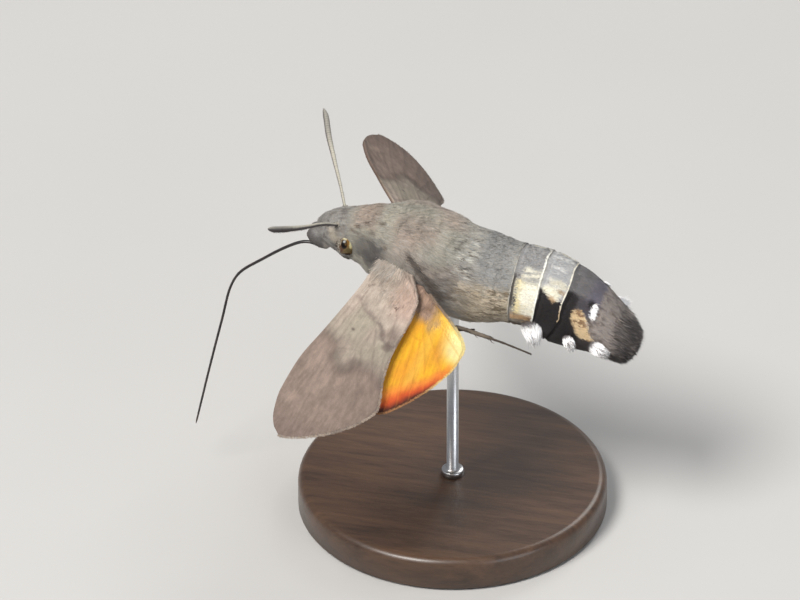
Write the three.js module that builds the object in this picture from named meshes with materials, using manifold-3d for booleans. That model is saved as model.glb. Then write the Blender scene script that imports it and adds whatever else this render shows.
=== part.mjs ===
// Hummingbird hawk moth (Macroglossum stellatarum), life size, hovering with spread wings and its
// proboscis let down in front, held over a round base by one upright rod.
// Millimetres, +Z up. The moth faces -X and its left side is -Y.
// The origin is the centre of the base's flat underside; the rod stands on that centre.
import * as THREE from 'three';
import { mergeVertices } from 'three/addons/utils/BufferGeometryUtils.js';
import Module from 'manifold-3d';

const wasm = await Module();
wasm.setup();

// ---------------------------------------------------------------- driving dimensions
const GAP = 0.3; // clearance where two pieces meet
const THORAX_HEIGHT = 25; // middle of the thorax above the floor
const THORAX_X = -3.7; // middle of the thorax, ahead of the rod

const BASE_R = 13;
const BASE_H = 3;
const BASE_CHAMFER = 0.45;
const ROD_R = 0.5;
const ROD_TOP_X = 3.7; // where the rod meets the body, behind the middle of the thorax

// The body along its length, from the face to the tip of the tail brush, out to the tips of the coat:
// x and z of the middle of the section, half width, half height above, half height below.
// All are measured from the middle of the thorax.
const BODY = [
  [-7.75, 0.72, 0.45, 0.45, 0.4],
  [-7.5, 0.78, 1.0, 0.98, 0.85],
  [-7.0, 0.85, 1.45, 1.5, 1.35],
  [-6.5, 1.0, 1.7, 1.85, 1.95],
  [-6.0, 1.1, 1.83, 2.02, 2.5],
  [-5.2, 1.16, 1.95, 2.2, 2.75],
  [-4.4, 1.08, 2.3, 2.5, 2.7],
  [-3.7, 0.92, 2.65, 2.87, 2.72],
  [-3.0, 0.64, 3.1, 3.28, 2.85],
  [-1.5, 0.35, 3.8, 4.0, 3.6],
  [0.0, 0.0, 4.25, 4.5, 4.3],
  [2.0, -0.6, 4.3, 4.6, 4.55],
  [4.5, -1.3, 4.1, 4.25, 4.25],
  [5.8, -1.56, 4.05, 4.15, 4.1],
  [7.3, -1.7, 4.0, 3.8, 3.7],
  [8.8, -1.8, 3.95, 3.45, 3.3],
  [11.3, -2.05, 3.85, 3.35, 3.3],
  [13.5, -3.0, 3.65, 3.25, 3.85],
  [15.0, -3.85, 3.45, 2.98, 3.4],
  [16.7, -4.87, 3.2, 2.3, 2.35],
  [18.0, -5.8, 2.8, 1.35, 1.5],
  [19.1, -6.42, 2.35, 1.0, 1.35],
  [19.75, -6.82, 1.65, 0.6, 0.95],
];
// where the body is parted by a thin cut across it
const NECK_X = -3.75;
const WAIST_X = 5.6;
const RING1_X = 9.2;
const RING2_X = 13.1;
const TAIL_X = 16.0;
const BODY_SIDES = 26;
const SLOPE_REACH = 0.7; // a section stands square to the body's mean slope over this far each way

// Side tufts of the abdomen: middle, half length, half width, half height, tilt down and splay out in degrees
const TUFTS = [
  { part: 'mid', at: [11.35, 3.45, -4.15], size: [1.25, 0.85, 0.9], down: 60, out: 40 },
  { part: 'rear', at: [14.6, 4.15, -4.15], size: [1.15, 0.6, 0.5], down: 3, out: 62 },
  { part: 'tail', at: [17.1, 3.65, -4.9], size: [1.05, 0.6, 0.55], down: 8, out: 25 },
];

const EYE_R = 0.95;
const EYE_AT = [-5.1, 1.33, 0.62];

const PALP_PATH = [[-6.6, 0.56, 0.1], [-7.2, 0.57, 0.3], [-7.8, 0.54, 0.44], [-8.3, 0.48, 0.46], [-8.66, 0.42, 0.42]];
const PALP_HALF_WIDTH = [0.5, 0.5, 0.47, 0.36, 0.16];
const PALP_HALF_HEIGHT = [0.9, 1.05, 0.98, 0.72, 0.3];

const ANTENNA_PATH = [[-5.75, 1.0, 2.2], [-6.7, 2.95, 3.42], [-7.8, 5.2, 4.38], [-8.85, 7.35, 5.42], [-9.45, 8.8, 6.24], [-9.78, 9.35, 6.6]];
const ANTENNA_SHAFT_R = 0.25;
const ANTENNA_CLUB_R = 0.33;

const PROBOSCIS_PATH = [
  [-7.0, 0, -0.78], [-7.9, 0, -0.7], [-8.7, 0, -0.58], [-9.4, 0, -0.72], [-10.7, 0, -1.45], [-12.7, 0, -2.95], [-14.65, 0, -4.6],
  [-15.45, 0, -6.1], [-16.25, 0, -9.6], [-17.35, 0, -14.6], [-18.6, 0, -20.6],
];
const PROBOSCIS_R = 0.25;
const PROBOSCIS_CUTS = [0, 0.3, 0.6, 1]; // shares of its length where it is parted

// Legs by pair: points of the thigh and of the shin with the foot, and the half thickness at each point
const LEGS = {
  foreleg: {
    femur: [[-1.7, 1.25, -3.5], [-2.7, 1.75, -3.95], [-3.7, 2.1, -3.55]],
    femurR: [0.42, 0.4, 0.28],
    tibia: [[-3.45, 2.05, -4.35], [-1.9, 1.85, -4.95], [-0.5, 1.65, -5.3], [1.0, 1.5, -5.75]],
    tibiaR: [0.28, 0.34, 0.26, 0.25],
  },
  midleg: {
    femur: [[-0.1, 2.0, -3.9], [0.1, 2.6, -4.6], [0.6, 3.1, -4.9]],
    femurR: [0.45, 0.4, 0.3],
    tibia: [[1.0, 3.0, -5.5], [2.4, 2.1, -6.3], [4.0, 1.55, -6.45], [5.9, 1.25, -6.2]],
    tibiaR: [0.28, 0.33, 0.26, 0.25],
  },
  hindleg: {
    femur: [[1.9, 1.6, -4.6], [2.9, 2.35, -5.4], [4.1, 3.2, -5.0]],
    femurR: [0.42, 0.4, 0.3],
    tibia: [[4.9, 3.2, -4.9], [6.6, 2.95, -5.45], [8.6, 2.75, -6.1], [11.1, 2.6, -6.98]],
    tibiaR: [0.27, 0.32, 0.26, 0.25],
  },
};
const LEG_SIDES = 6;

// Wings: a point lies s out from the root along the span and c back along the chord.
const WING_THICK = 0.5;
const HINDWING_DROP = 0.82; // the hind wing lies under the fore wing
const WING_ROOT = [-1.77, 3.6, 0.66];
const WINGS = {
  // direction of the span, pitch of the chord in degrees, height of the camber, and how far the wing bends and twists
  left: { side: -1, span: [-0.269, 0.925, -0.267], pitch: -10, camber: 0.38, bend: -0.0032, twist: -0.004 },
  right: { side: 1, span: [-0.3982, 0.8943, -0.204], pitch: -36, camber: 0.8, bend: 0.0012, twist: 0.003 },
};
const FOREWING = {
  lead: [[-1.4, 0.9], [0, 0.0], [3.5, -0.2], [8, -0.6], [12, -1.0], [15, -0.85], [17.2, -0.3], [18.3, 0.35], [18.9, 1.1]],
  trail: [[-1.4, 2.2], [0, 3.2], [2, 4.7], [4, 5.1], [7, 5.3], [10, 5.9], [11.6, 6.55], [12.7, 6.85], [14.2, 6.35], [16, 5.2], [17.4, 3.85], [18.4, 2.5], [18.9, 1.45]],
  stations: [-1.4, -0.3, 1.2, 3, 5.2, 7.4, 9.5, 11.3, 12.7, 13.8, 15.1, 16.3, 17.4, 18.3, 18.9],
};
const HINDWING = {
  lead: [[-0.6, 2.6], [1, 3.2], [3, 4.1], [6, 4.5], [9, 4.9], [11.3, 5.6], [12.4, 6.3]],
  trail: [[-0.6, 3.6], [0, 4.5], [0.8, 6.1], [1.6, 7.9], [2.4, 9.2], [3.4, 9.95], [5, 10.1], [7, 9.7], [9, 8.95], [10.8, 8.05], [12, 7.3], [12.4, 6.85]],
  stations: [-0.6, 0.1, 0.8, 1.5, 2.3, 3.4, 5, 6.8, 8.6, 10.2, 11.5, 12.4],
};
const CHORD_STEPS = 6;

// ---------------------------------------------------------------- curves through tables
// A smooth curve through [x, value] rows that never runs past its rows.
function through(rows, column = 1) {
  const x = rows.map((r) => r[0]);
  const y = rows.map((r) => r[column]);
  const n = x.length;
  const d = [];
  for (let i = 0; i < n - 1; i++) d.push((y[i + 1] - y[i]) / (x[i + 1] - x[i]));
  const m = [d[0]];
  for (let i = 1; i < n - 1; i++) {
    const a = x[i] - x[i - 1];
    const b = x[i + 1] - x[i];
    m.push(d[i - 1] * d[i] <= 0 ? 0 : (3 * (a + b)) / ((2 * b + a) / d[i - 1] + (b + 2 * a) / d[i]));
  }
  m.push(d[n - 2]);
  return (v) => {
    let i = 0;
    while (i < n - 2 && v > x[i + 1]) i++;
    const h = x[i + 1] - x[i];
    const t = Math.min(1, Math.max(0, (v - x[i]) / h));
    return y[i] * (1 + 2 * t) * (1 - t) ** 2 + h * m[i] * t * (1 - t) ** 2 + y[i + 1] * t * t * (3 - 2 * t) + h * m[i + 1] * t * t * (t - 1);
  };
}

// ---------------------------------------------------------------- closed surfaces from rings
function closedFromRings(rings) {
  const n = rings[0].length;
  const pos = [];
  rings.forEach((ring) => ring.forEach((p) => pos.push(p.x, p.y, p.z)));
  const middle = (ring) => ring.reduce((a, p) => a.add(p), new THREE.Vector3()).multiplyScalar(1 / n);
  const first = middle(rings[0]);
  const last = middle(rings[rings.length - 1]);
  pos.push(first.x, first.y, first.z, last.x, last.y, last.z);
  const a0 = rings.length * n;
  const index = [];
  for (let i = 0; i + 1 < rings.length; i++)
    for (let j = 0; j < n; j++) {
      const k = (j + 1) % n;
      const a = i * n + j;
      const b = i * n + k;
      const c = (i + 1) * n + j;
      const d = (i + 1) * n + k;
      index.push(a, b, c, b, d, c);
    }
  const e = (rings.length - 1) * n;
  for (let j = 0; j < n; j++) {
    const k = (j + 1) % n;
    index.push(a0, k, j);
    index.push(a0 + 1, e + j, e + k);
  }
  const g = new THREE.BufferGeometry();
  g.setAttribute('position', new THREE.Float32BufferAttribute(pos, 3));
  g.setIndex(index);
  return facingOut(g);
}

// Turns a closed surface's faces outwards where its rings ran the other way round.
function facingOut(g) {
  const p = g.getAttribute('position');
  const ix = g.index.array;
  const [a, b, c] = [new THREE.Vector3(), new THREE.Vector3(), new THREE.Vector3()];
  let volume = 0;
  for (let i = 0; i < ix.length; i += 3) {
    a.fromBufferAttribute(p, ix[i]);
    b.fromBufferAttribute(p, ix[i + 1]);
    c.fromBufferAttribute(p, ix[i + 2]);
    volume += a.dot(b.cross(c));
  }
  if (volume < 0) for (let i = 0; i < ix.length; i += 3) [ix[i + 1], ix[i + 2]] = [ix[i + 2], ix[i + 1]];
  g.computeVertexNormals();
  return g;
}

// ---------------------------------------------------------------- cuts and joins
function toSolid(geometry) {
  let g = geometry.clone();
  g.deleteAttribute('normal');
  g.deleteAttribute('uv');
  g = mergeVertices(g, 1e-4);
  return new wasm.Manifold(new wasm.Mesh({
    numProp: 3,
    vertProperties: new Float32Array(g.getAttribute('position').array),
    triVerts: new Uint32Array(g.index.array),
  }));
}

function toGeometry(solid) {
  const mesh = solid.getMesh();
  const count = mesh.vertProperties.length / mesh.numProp;
  const pos = new Float32Array(count * 3);
  for (let i = 0; i < count; i++) for (let k = 0; k < 3; k++) pos[3 * i + k] = mesh.vertProperties[i * mesh.numProp + k];
  const g = new THREE.BufferGeometry();
  g.setAttribute('position', new THREE.BufferAttribute(pos, 3));
  g.setIndex(new THREE.BufferAttribute(new Uint32Array(mesh.triVerts), 1));
  g.computeVertexNormals();
  return g;
}

// What is left of a piece outside its neighbours; only its largest body is kept.
function without(geometry, ...neighbours) {
  let solid = toSolid(geometry);
  for (const n of neighbours) solid = solid.subtract(toSolid(n));
  const bodies = solid.decompose().sort((a, b) => b.volume() - a.volume());
  return toGeometry(bodies[0]);
}

function joined(geometry, ...others) {
  let solid = toSolid(geometry);
  for (const o of others) solid = solid.add(toSolid(o));
  return toGeometry(solid);
}

// ---------------------------------------------------------------- the body
const bodyZ = through(BODY, 1);
const bodyHalfWidth = through(BODY, 2);
const bodyUp = through(BODY, 3);
const bodyDown = through(BODY, 4);

function bodyRing(x, grow = 0, sides = BODY_SIDES) {
  const before = Math.max(x - SLOPE_REACH, BODY[0][0]);
  const after = Math.min(x + SLOPE_REACH, BODY[BODY.length - 1][0]);
  const slope = (bodyZ(after) - bodyZ(before)) / (after - before);
  // near the face and the tail tip the table ends, so the section keeps the slope beside it
  const t = new THREE.Vector3(1, 0, THREE.MathUtils.clamp(slope, -0.75, 0.3)).normalize();
  const up = new THREE.Vector3(-t.z, 0, t.x);
  const middle = new THREE.Vector3(x, 0, bodyZ(x));
  const ring = [];
  for (let j = 0; j < sides; j++) {
    const f = (2 * Math.PI * j) / sides;
    const w = bodyHalfWidth(x) + grow;
    const h = (Math.sin(f) > 0 ? bodyUp(x) : bodyDown(x)) + grow;
    ring.push(new THREE.Vector3().copy(middle).addScaledVector(up, h * Math.sin(f)).add(new THREE.Vector3(0, w * Math.cos(f), 0)));
  }
  return ring;
}

function bodyLength(x0, x1, steps, grow = 0, sides = BODY_SIDES) {
  const rings = [];
  for (let i = 0; i <= steps; i++) rings.push(bodyRing(x0 + ((x1 - x0) * i) / steps, grow, sides));
  return closedFromRings(rings);
}

function tuftSolid(t, side) {
  const g = new THREE.SphereGeometry(1, 10, 7);
  g.scale(...t.size);
  const back = new THREE.Matrix4().makeRotationY(THREE.MathUtils.degToRad(t.down));
  const splay = new THREE.Matrix4().makeRotationZ(THREE.MathUtils.degToRad(t.out) * side);
  g.applyMatrix4(splay.multiply(back));
  g.translate(t.at[0], t.at[1] * side, t.at[2]);
  return g;
}

const half = GAP / 2;
const tuftsOf = (part) => TUFTS.filter((t) => t.part === part).flatMap((t) => [tuftSolid(t, -1), tuftSolid(t, 1)]);

const eyeBall = (side, grow = 0) => {
  const g = new THREE.SphereGeometry(EYE_R + grow, 16, 10);
  g.rotateX(Math.PI / 2);
  g.translate(EYE_AT[0], EYE_AT[1] * side, EYE_AT[2]);
  return g;
};

const headWhole = bodyLength(BODY[0][0], NECK_X - half, 11);
const headGrown = bodyLength(BODY[0][0] - 0.15, NECK_X, 11, GAP * 0.85);
const thoraxGeometry = bodyLength(NECK_X + half, WAIST_X - half, 10);
const thoraxGrown = bodyLength(NECK_X - 0.3, WAIST_X + 0.3, 12, GAP);
const abdomenGrown = bodyLength(WAIST_X - 0.3, TAIL_X, 8, GAP);
const headGeometry = without(headWhole, eyeBall(-1, GAP * 0.8), eyeBall(1, GAP * 0.8));
const abdomenFront = bodyLength(WAIST_X + half, RING1_X - half, 4);
const abdomenMid = joined(bodyLength(RING1_X + half, RING2_X - half, 4), ...tuftsOf('mid'));
const abdomenRear = joined(bodyLength(RING2_X + half, TAIL_X - half, 4), ...tuftsOf('rear'));
const tailFan = joined(bodyLength(TAIL_X + half, BODY[BODY.length - 1][0], 6), ...tuftsOf('tail'));

// ---------------------------------------------------------------- round limbs
// A closed tube along a smooth curve, with its own half width and half height at each point of the path.
function limb(path, halfWidth, halfHeight, steps, sides, from = 0, to = 1, capShort = 0.45) {
  const curve = new THREE.CatmullRomCurve3(path.map((p) => new THREE.Vector3(...p)), false, 'centripetal');
  const n = path.length - 1;
  const at = (list, u) => {
    const f = Math.min(n, Math.max(0, u * n));
    const i = Math.min(n - 1, Math.floor(f));
    return list[i] + (list[i + 1] - list[i]) * (f - i);
  };
  const rings = [];
  const params = [from];
  for (let i = 0; i <= steps; i++) params.push(from + ((to - from) * (i + 0.4)) / (steps + 0.8));
  params.push(to);
  let across = null;
  params.forEach((u, i) => {
    const p = curve.getPoint(u);
    const t = curve.getTangent(u).normalize();
    const seed = across || (Math.abs(t.z) > 0.85 ? new THREE.Vector3(0, 1, 0) : new THREE.Vector3().crossVectors(new THREE.Vector3(0, 0, 1), t));
    across = seed.clone().addScaledVector(t, -seed.dot(t)).normalize();
    const up = new THREE.Vector3().crossVectors(t, across);
    const k = i === 0 || i === params.length - 1 ? capShort : 1;
    const w = at(halfWidth, u) * k;
    const h = at(halfHeight, u) * k;
    const ring = [];
    for (let j = 0; j < sides; j++) {
      const f = (2 * Math.PI * (j + 0.5)) / sides;
      ring.push(p.clone().addScaledVector(across, w * Math.cos(f)).addScaledVector(up, h * Math.sin(f)));
    }
    rings.push(ring);
  });
  return closedFromRings(rings);
}

const mirrored = (path, side) => path.map(([x, y, z]) => [x, y * side, z]);

function antenna(side) {
  const shaft = [1, 1, 1.05, 1.15, 1.25, 1];
  const r = shaft.map((k, i) => (i === 3 || i === 4 ? ANTENNA_CLUB_R : ANTENNA_SHAFT_R));
  r[2] = (ANTENNA_SHAFT_R + ANTENNA_CLUB_R) / 2;
  return without(limb(mirrored(ANTENNA_PATH, side), r, r, 13, 8), headGrown);
}

function proboscis(i) {
  const n = PROBOSCIS_PATH.length;
  const r = new Array(n).fill(PROBOSCIS_R);
  const total = new THREE.CatmullRomCurve3(PROBOSCIS_PATH.map((p) => new THREE.Vector3(...p)), false, 'centripetal').getLength();
  const cut = (GAP / total) * 0.5;
  const from = PROBOSCIS_CUTS[i] + (i ? cut : 0);
  const to = PROBOSCIS_CUTS[i + 1] - (i < 2 ? cut : 0);
  return limb(PROBOSCIS_PATH, r, r, 9, 8, from, to, 0.9);
}

const palp = (side, grow = 0) => limb(
  mirrored(PALP_PATH, side),
  PALP_HALF_WIDTH.map((w) => w + grow - GAP * 0.25),
  PALP_HALF_HEIGHT.map((h) => h + grow),
  7, 12);

// ---------------------------------------------------------------- wings
function wingFrame(which) {
  const { side, span, pitch } = WINGS[which];
  const w = new THREE.Vector3(span[0], span[1] * side, span[2]).normalize();
  const a = new THREE.Vector3(1, 0, 0).addScaledVector(w, -w.x).normalize();
  const v = new THREE.Vector3().crossVectors(w, a).multiplyScalar(-side);
  const t = THREE.MathUtils.degToRad(pitch);
  const c = a.clone().multiplyScalar(Math.cos(t)).addScaledVector(v, Math.sin(t));
  const up = v.clone().multiplyScalar(Math.cos(t)).addScaledVector(a, -Math.sin(t));
  const root = new THREE.Vector3(WING_ROOT[0], WING_ROOT[1] * side, WING_ROOT[2]);
  return { w, c, up, root };
}

// Height of the wing's middle surface over its flat plane: cambered along the chord, bent and twisted to the tip.
function wingRise({ camber, bend, twist }, s, c) {
  const k = Math.min(1, Math.max(0, (c + 0.4) / 8.5));
  return camber * Math.sin(Math.PI * k) + bend * s * s + twist * s * c;
}

function wing(which, shape, drop) {
  const { w, c, up, root } = wingFrame(which);
  const lead = through(shape.lead);
  const trail = through(shape.trail);
  const rings = shape.stations.map((s) => {
    const c0 = lead(s);
    const c1 = trail(s);
    const top = [];
    const bottom = [];
    for (let j = 0; j <= CHORD_STEPS; j++) {
      const q = c0 + ((c1 - c0) * j) / CHORD_STEPS;
      const h = wingRise(WINGS[which], s, q) - drop;
      const at = (dz) => root.clone().addScaledVector(w, s).addScaledVector(c, q).addScaledVector(up, h + dz);
      top.push(at(WING_THICK / 2));
      bottom.unshift(at(-WING_THICK / 2));
    }
    return [...top, ...bottom];
  });
  return without(closedFromRings(rings), thoraxGrown, abdomenGrown);
}

// ---------------------------------------------------------------- legs
function legPiece(pair, piece, side) {
  const leg = LEGS[pair];
  const r = leg[`${piece}R`];
  const path = mirrored(leg[piece], side);
  return without(limb(path, r, r, piece === 'femur' ? 5 : 8, LEG_SIDES), thoraxGrown, abdomenGrown);
}

// ---------------------------------------------------------------- stand
function standBase() {
  const c = BASE_CHAMFER;
  const profile = [[0, 0], [BASE_R - 0.3, 0], [BASE_R, 0.3], [BASE_R, BASE_H - c], [BASE_R - c, BASE_H], [0, BASE_H]];
  const g = new THREE.LatheGeometry(profile.map(([r, z]) => new THREE.Vector2(r, z)), 40);
  g.rotateX(Math.PI / 2);
  return g;
}

function standRod() {
  const bottom = BASE_H;
  const top = THORAX_HEIGHT + bodyZ(ROD_TOP_X);
  const g = new THREE.CylinderGeometry(ROD_R, ROD_R, top - bottom, 20);
  g.rotateX(Math.PI / 2);
  g.translate(-THORAX_X, 0, (top + bottom) / 2 - THORAX_HEIGHT);
  const cut = without(g, thoraxGrown);
  return cut;
}

// ---------------------------------------------------------------- assembly
const material = (color, roughness, metalness = 0) => new THREE.MeshStandardMaterial({ color, roughness, metalness });
const LOOK = {
  coat: () => material(0x8d8a80, 0.95),
  coatDark: () => material(0x3b3836, 0.95),
  coatPale: () => material(0xb9ae90, 0.95),
  eye: () => material(0x9a7a3a, 0.25),
  palp: () => material(0x9b978c, 0.95),
  antenna: () => material(0xa39e92, 0.7),
  proboscis: () => material(0x1c1a1a, 0.45),
  forewing: () => material(0x9c8e80, 0.85),
  hindwing: () => material(0xf0a12a, 0.85),
  leg: () => material(0x5a554d, 0.9),
  base: () => material(0x2a2623, 0.5),
  rod: () => material(0xb8b8bb, 0.3, 1),
};

function named(name, geometry, look) {
  const mesh = new THREE.Mesh(geometry, look());
  mesh.name = name;
  return mesh;
}

const moth = new THREE.Group();
moth.position.set(THORAX_X, 0, THORAX_HEIGHT);

moth.add(named('head', headGeometry, LOOK.coat));
moth.add(named('thorax', thoraxGeometry, LOOK.coat));
moth.add(named('abdomen_front', abdomenFront, LOOK.coat));
moth.add(named('abdomen_mid', abdomenMid, LOOK.coatPale));
moth.add(named('abdomen_rear', abdomenRear, LOOK.coatDark));
moth.add(named('tail_fan', tailFan, LOOK.coatDark));
['proboscis_base', 'proboscis_mid', 'proboscis_tip'].forEach((name, i) => {
  const g = i ? proboscis(i) : without(proboscis(i), headGrown, palp(-1, 0.1), palp(1, 0.1));
  moth.add(named(name, g, LOOK.proboscis));
});

for (const [which, side] of [['left', -1], ['right', 1]]) {
  moth.add(named(`eye_${which}`, eyeBall(side), LOOK.eye));
  moth.add(named(`palp_${which}`, without(palp(side), headGrown), LOOK.palp));
  moth.add(named(`antenna_${which}`, antenna(side), LOOK.antenna));
  moth.add(named(`forewing_${which}`, wing(which, FOREWING, 0), LOOK.forewing));
  moth.add(named(`hindwing_${which}`, wing(which, HINDWING, HINDWING_DROP), LOOK.hindwing));
  for (const pair of Object.keys(LEGS))
    for (const piece of ['femur', 'tibia'])
      moth.add(named(`${pair}_${which}_${piece}`, legPiece(pair, piece, side), LOOK.leg));
}

const rod = named('stand_rod', standRod(), LOOK.rod);
moth.add(rod);

const group = new THREE.Group();
group.add(moth);
group.add(named('stand_base', standBase(), LOOK.base));

export default group;
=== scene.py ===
# Hummingbird hawk moth, life size, hovering on a plain display stand.
# One skin with a coat of hair and scales over it, thin veined wings, faceted eyes, feelers, tongue, legs and stand.
# Shapes are worked out in millimetres from the middle of the thorax, and written in metres in the frame of the solids.
import math

import bpy
import numpy as np
from mathutils import Matrix, Vector


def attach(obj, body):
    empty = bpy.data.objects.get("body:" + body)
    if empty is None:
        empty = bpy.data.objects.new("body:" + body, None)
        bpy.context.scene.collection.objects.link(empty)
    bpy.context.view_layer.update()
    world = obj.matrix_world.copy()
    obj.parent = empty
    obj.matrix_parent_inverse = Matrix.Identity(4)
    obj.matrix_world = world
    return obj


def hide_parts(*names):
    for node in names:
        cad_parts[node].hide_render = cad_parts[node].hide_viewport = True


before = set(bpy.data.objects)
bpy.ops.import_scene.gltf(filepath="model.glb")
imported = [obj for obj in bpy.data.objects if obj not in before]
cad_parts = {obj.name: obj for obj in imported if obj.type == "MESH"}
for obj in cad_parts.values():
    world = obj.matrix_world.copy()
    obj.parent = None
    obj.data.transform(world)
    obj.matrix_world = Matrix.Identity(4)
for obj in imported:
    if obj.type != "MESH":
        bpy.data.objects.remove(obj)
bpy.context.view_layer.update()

MM = 0.001
PLACE = np.array([-3.7, 0.0, 25.0])  # the middle of the thorax in the frame of the solids
DENSITY = 1.0

# ---------------------------------------------------------------- driving sizes, the same as in the solids
BODY = np.array([
    [-7.75, 0.72, 0.45, 0.45, 0.4],
    [-7.5, 0.78, 1.0, 0.98, 0.85],
    [-7.0, 0.85, 1.45, 1.5, 1.35],
    [-6.5, 1.0, 1.7, 1.85, 1.95],
    [-6.0, 1.1, 1.83, 2.02, 2.5],
    [-5.2, 1.16, 1.95, 2.2, 2.75],
    [-4.4, 1.08, 2.3, 2.5, 2.7],
    [-3.7, 0.92, 2.65, 2.87, 2.72],
    [-3.0, 0.64, 3.1, 3.28, 2.85],
    [-1.5, 0.35, 3.8, 4.0, 3.6],
    [0.0, 0.0, 4.25, 4.5, 4.3],
    [2.0, -0.6, 4.3, 4.6, 4.55],
    [4.5, -1.3, 4.1, 4.25, 4.25],
    [5.8, -1.56, 4.05, 4.15, 4.1],
    [7.3, -1.7, 4.0, 3.8, 3.7],
    [8.8, -1.8, 3.95, 3.45, 3.3],
    [11.3, -2.05, 3.85, 3.35, 3.3],
    [13.5, -3.0, 3.65, 3.25, 3.85],
    [15.0, -3.85, 3.45, 2.98, 3.4],
    [16.7, -4.87, 3.2, 2.3, 2.35],
    [18.0, -5.8, 2.8, 1.35, 1.5],
    [19.1, -6.42, 2.35, 1.0, 1.35],
    [19.75, -6.82, 1.65, 0.6, 0.95],
])
SLOPE_REACH = 0.7
# depth of the coat over the skin, along the body
COAT_DEPTH = np.array([
    [-7.75, 0.1], [-6.2, 0.14], [-4.8, 0.24], [-3.2, 0.33], [-1, 0.38], [4, 0.38],
    [6, 0.3], [8, 0.2], [13, 0.17], [17, 0.17], [18.5, 0.16], [19.75, 0.14],
])
RINGS = [7.45, 9.25, 11.35, 12.9, 15.3, 16.9]  # rear edges of the abdomen's segments
SKIN_END = 18.95  # the tail's skin stops here, and its scales go on to the tip

TUFTS = [  # side tufts of the abdomen
    {"at": [11.35, 3.45, -4.15], "size": [1.25, 0.85, 0.9], "down": 60, "out": 40, "count": 2100},
    {"at": [14.65, 4.08, -4.38], "size": [1.08, 0.5, 0.44], "down": 3, "out": 62, "count": 1000},
    {"at": [17.1, 3.65, -4.9], "size": [1.05, 0.6, 0.55], "down": 8, "out": 25, "count": 1300},
]
EYE_R = 0.95
EYE_AT = [-5.1, 1.33, 0.62]
PALP_PATH = [[-6.6, 0.56, 0.1], [-7.2, 0.57, 0.3], [-7.8, 0.54, 0.44], [-8.3, 0.48, 0.46], [-8.66, 0.42, 0.42]]
PALP_HALF_WIDTH = [0.5, 0.5, 0.47, 0.36, 0.16]
PALP_HALF_HEIGHT = [0.9, 1.05, 0.98, 0.72, 0.3]
ANTENNA_PATH = [[-5.75, 1.0, 2.2], [-6.7, 2.95, 3.42], [-7.8, 5.2, 4.38], [-8.85, 7.35, 5.42], [-9.45, 8.8, 6.24], [-9.78, 9.35, 6.6]]
PROBOSCIS_PATH = [
    [-7.0, 0, -0.78], [-7.9, 0, -0.7], [-8.7, 0, -0.58], [-9.4, 0, -0.72], [-10.7, 0, -1.45], [-12.7, 0, -2.95],
    [-14.65, 0, -4.6], [-15.45, 0, -6.1], [-16.25, 0, -9.6], [-17.35, 0, -14.6], [-18.6, 0, -20.6],
]
LEGS = {
    "foreleg": {
        "femur": [[-1.7, 1.25, -3.5], [-2.7, 1.75, -3.95], [-3.7, 2.1, -3.55]],
        "tibia": [[-3.45, 2.05, -4.35], [-1.9, 1.85, -4.95], [-0.5, 1.65, -5.3], [1.0, 1.5, -5.75]],
    },
    "midleg": {
        "femur": [[-0.1, 2.0, -3.9], [0.1, 2.6, -4.6], [0.6, 3.1, -4.9]],
        "tibia": [[1.0, 3.0, -5.5], [2.4, 2.1, -6.3], [4.0, 1.55, -6.45], [5.9, 1.25, -6.2]],
    },
    "hindleg": {
        "femur": [[1.9, 1.6, -4.6], [2.9, 2.35, -5.4], [4.1, 3.2, -5.0]],
        "tibia": [[4.9, 3.2, -4.9], [6.6, 2.95, -5.45], [8.6, 2.75, -6.1], [11.1, 2.6, -6.98]],
    },
}
HINDWING_DROP = 0.82
WING_ROOT = [-1.77, 3.6, 0.66]
WINGS = {
    "left": {"side": -1, "span": [-0.269, 0.925, -0.267], "pitch": -10, "camber": 0.38, "bend": -0.0032, "twist": -0.004},
    "right": {"side": 1, "span": [-0.3982, 0.8943, -0.204], "pitch": -36, "camber": 0.8, "bend": 0.0012, "twist": 0.003},
}
FOREWING = {
    "lead": [[-1.4, 0.9], [0, 0.0], [3.5, -0.2], [8, -0.6], [12, -1.0], [15, -0.85], [17.2, -0.3], [18.3, 0.35], [18.9, 1.1]],
    "trail": [[-1.4, 2.2], [0, 3.2], [2, 4.7], [4, 5.1], [7, 5.3], [10, 5.9], [11.6, 6.55], [12.7, 6.85], [14.2, 6.35], [16, 5.2], [17.4, 3.85], [18.4, 2.5], [18.9, 1.45]],
}
HINDWING = {
    "lead": [[-0.6, 2.6], [1, 3.2], [3, 4.1], [6, 4.5], [9, 4.9], [11.3, 5.6], [12.4, 6.3]],
    "trail": [[-0.6, 3.6], [0, 4.5], [0.8, 6.1], [1.6, 7.9], [2.4, 9.2], [3.4, 9.95], [5, 10.1], [7, 9.7], [9, 8.95], [10.8, 8.05], [12, 7.3], [12.4, 6.85]],
}
WING_SHEET = 0.07  # thickness of the wings in the looks
BASE_R, BASE_H = 13.0, 3.0
ROD_R = 0.5


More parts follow.
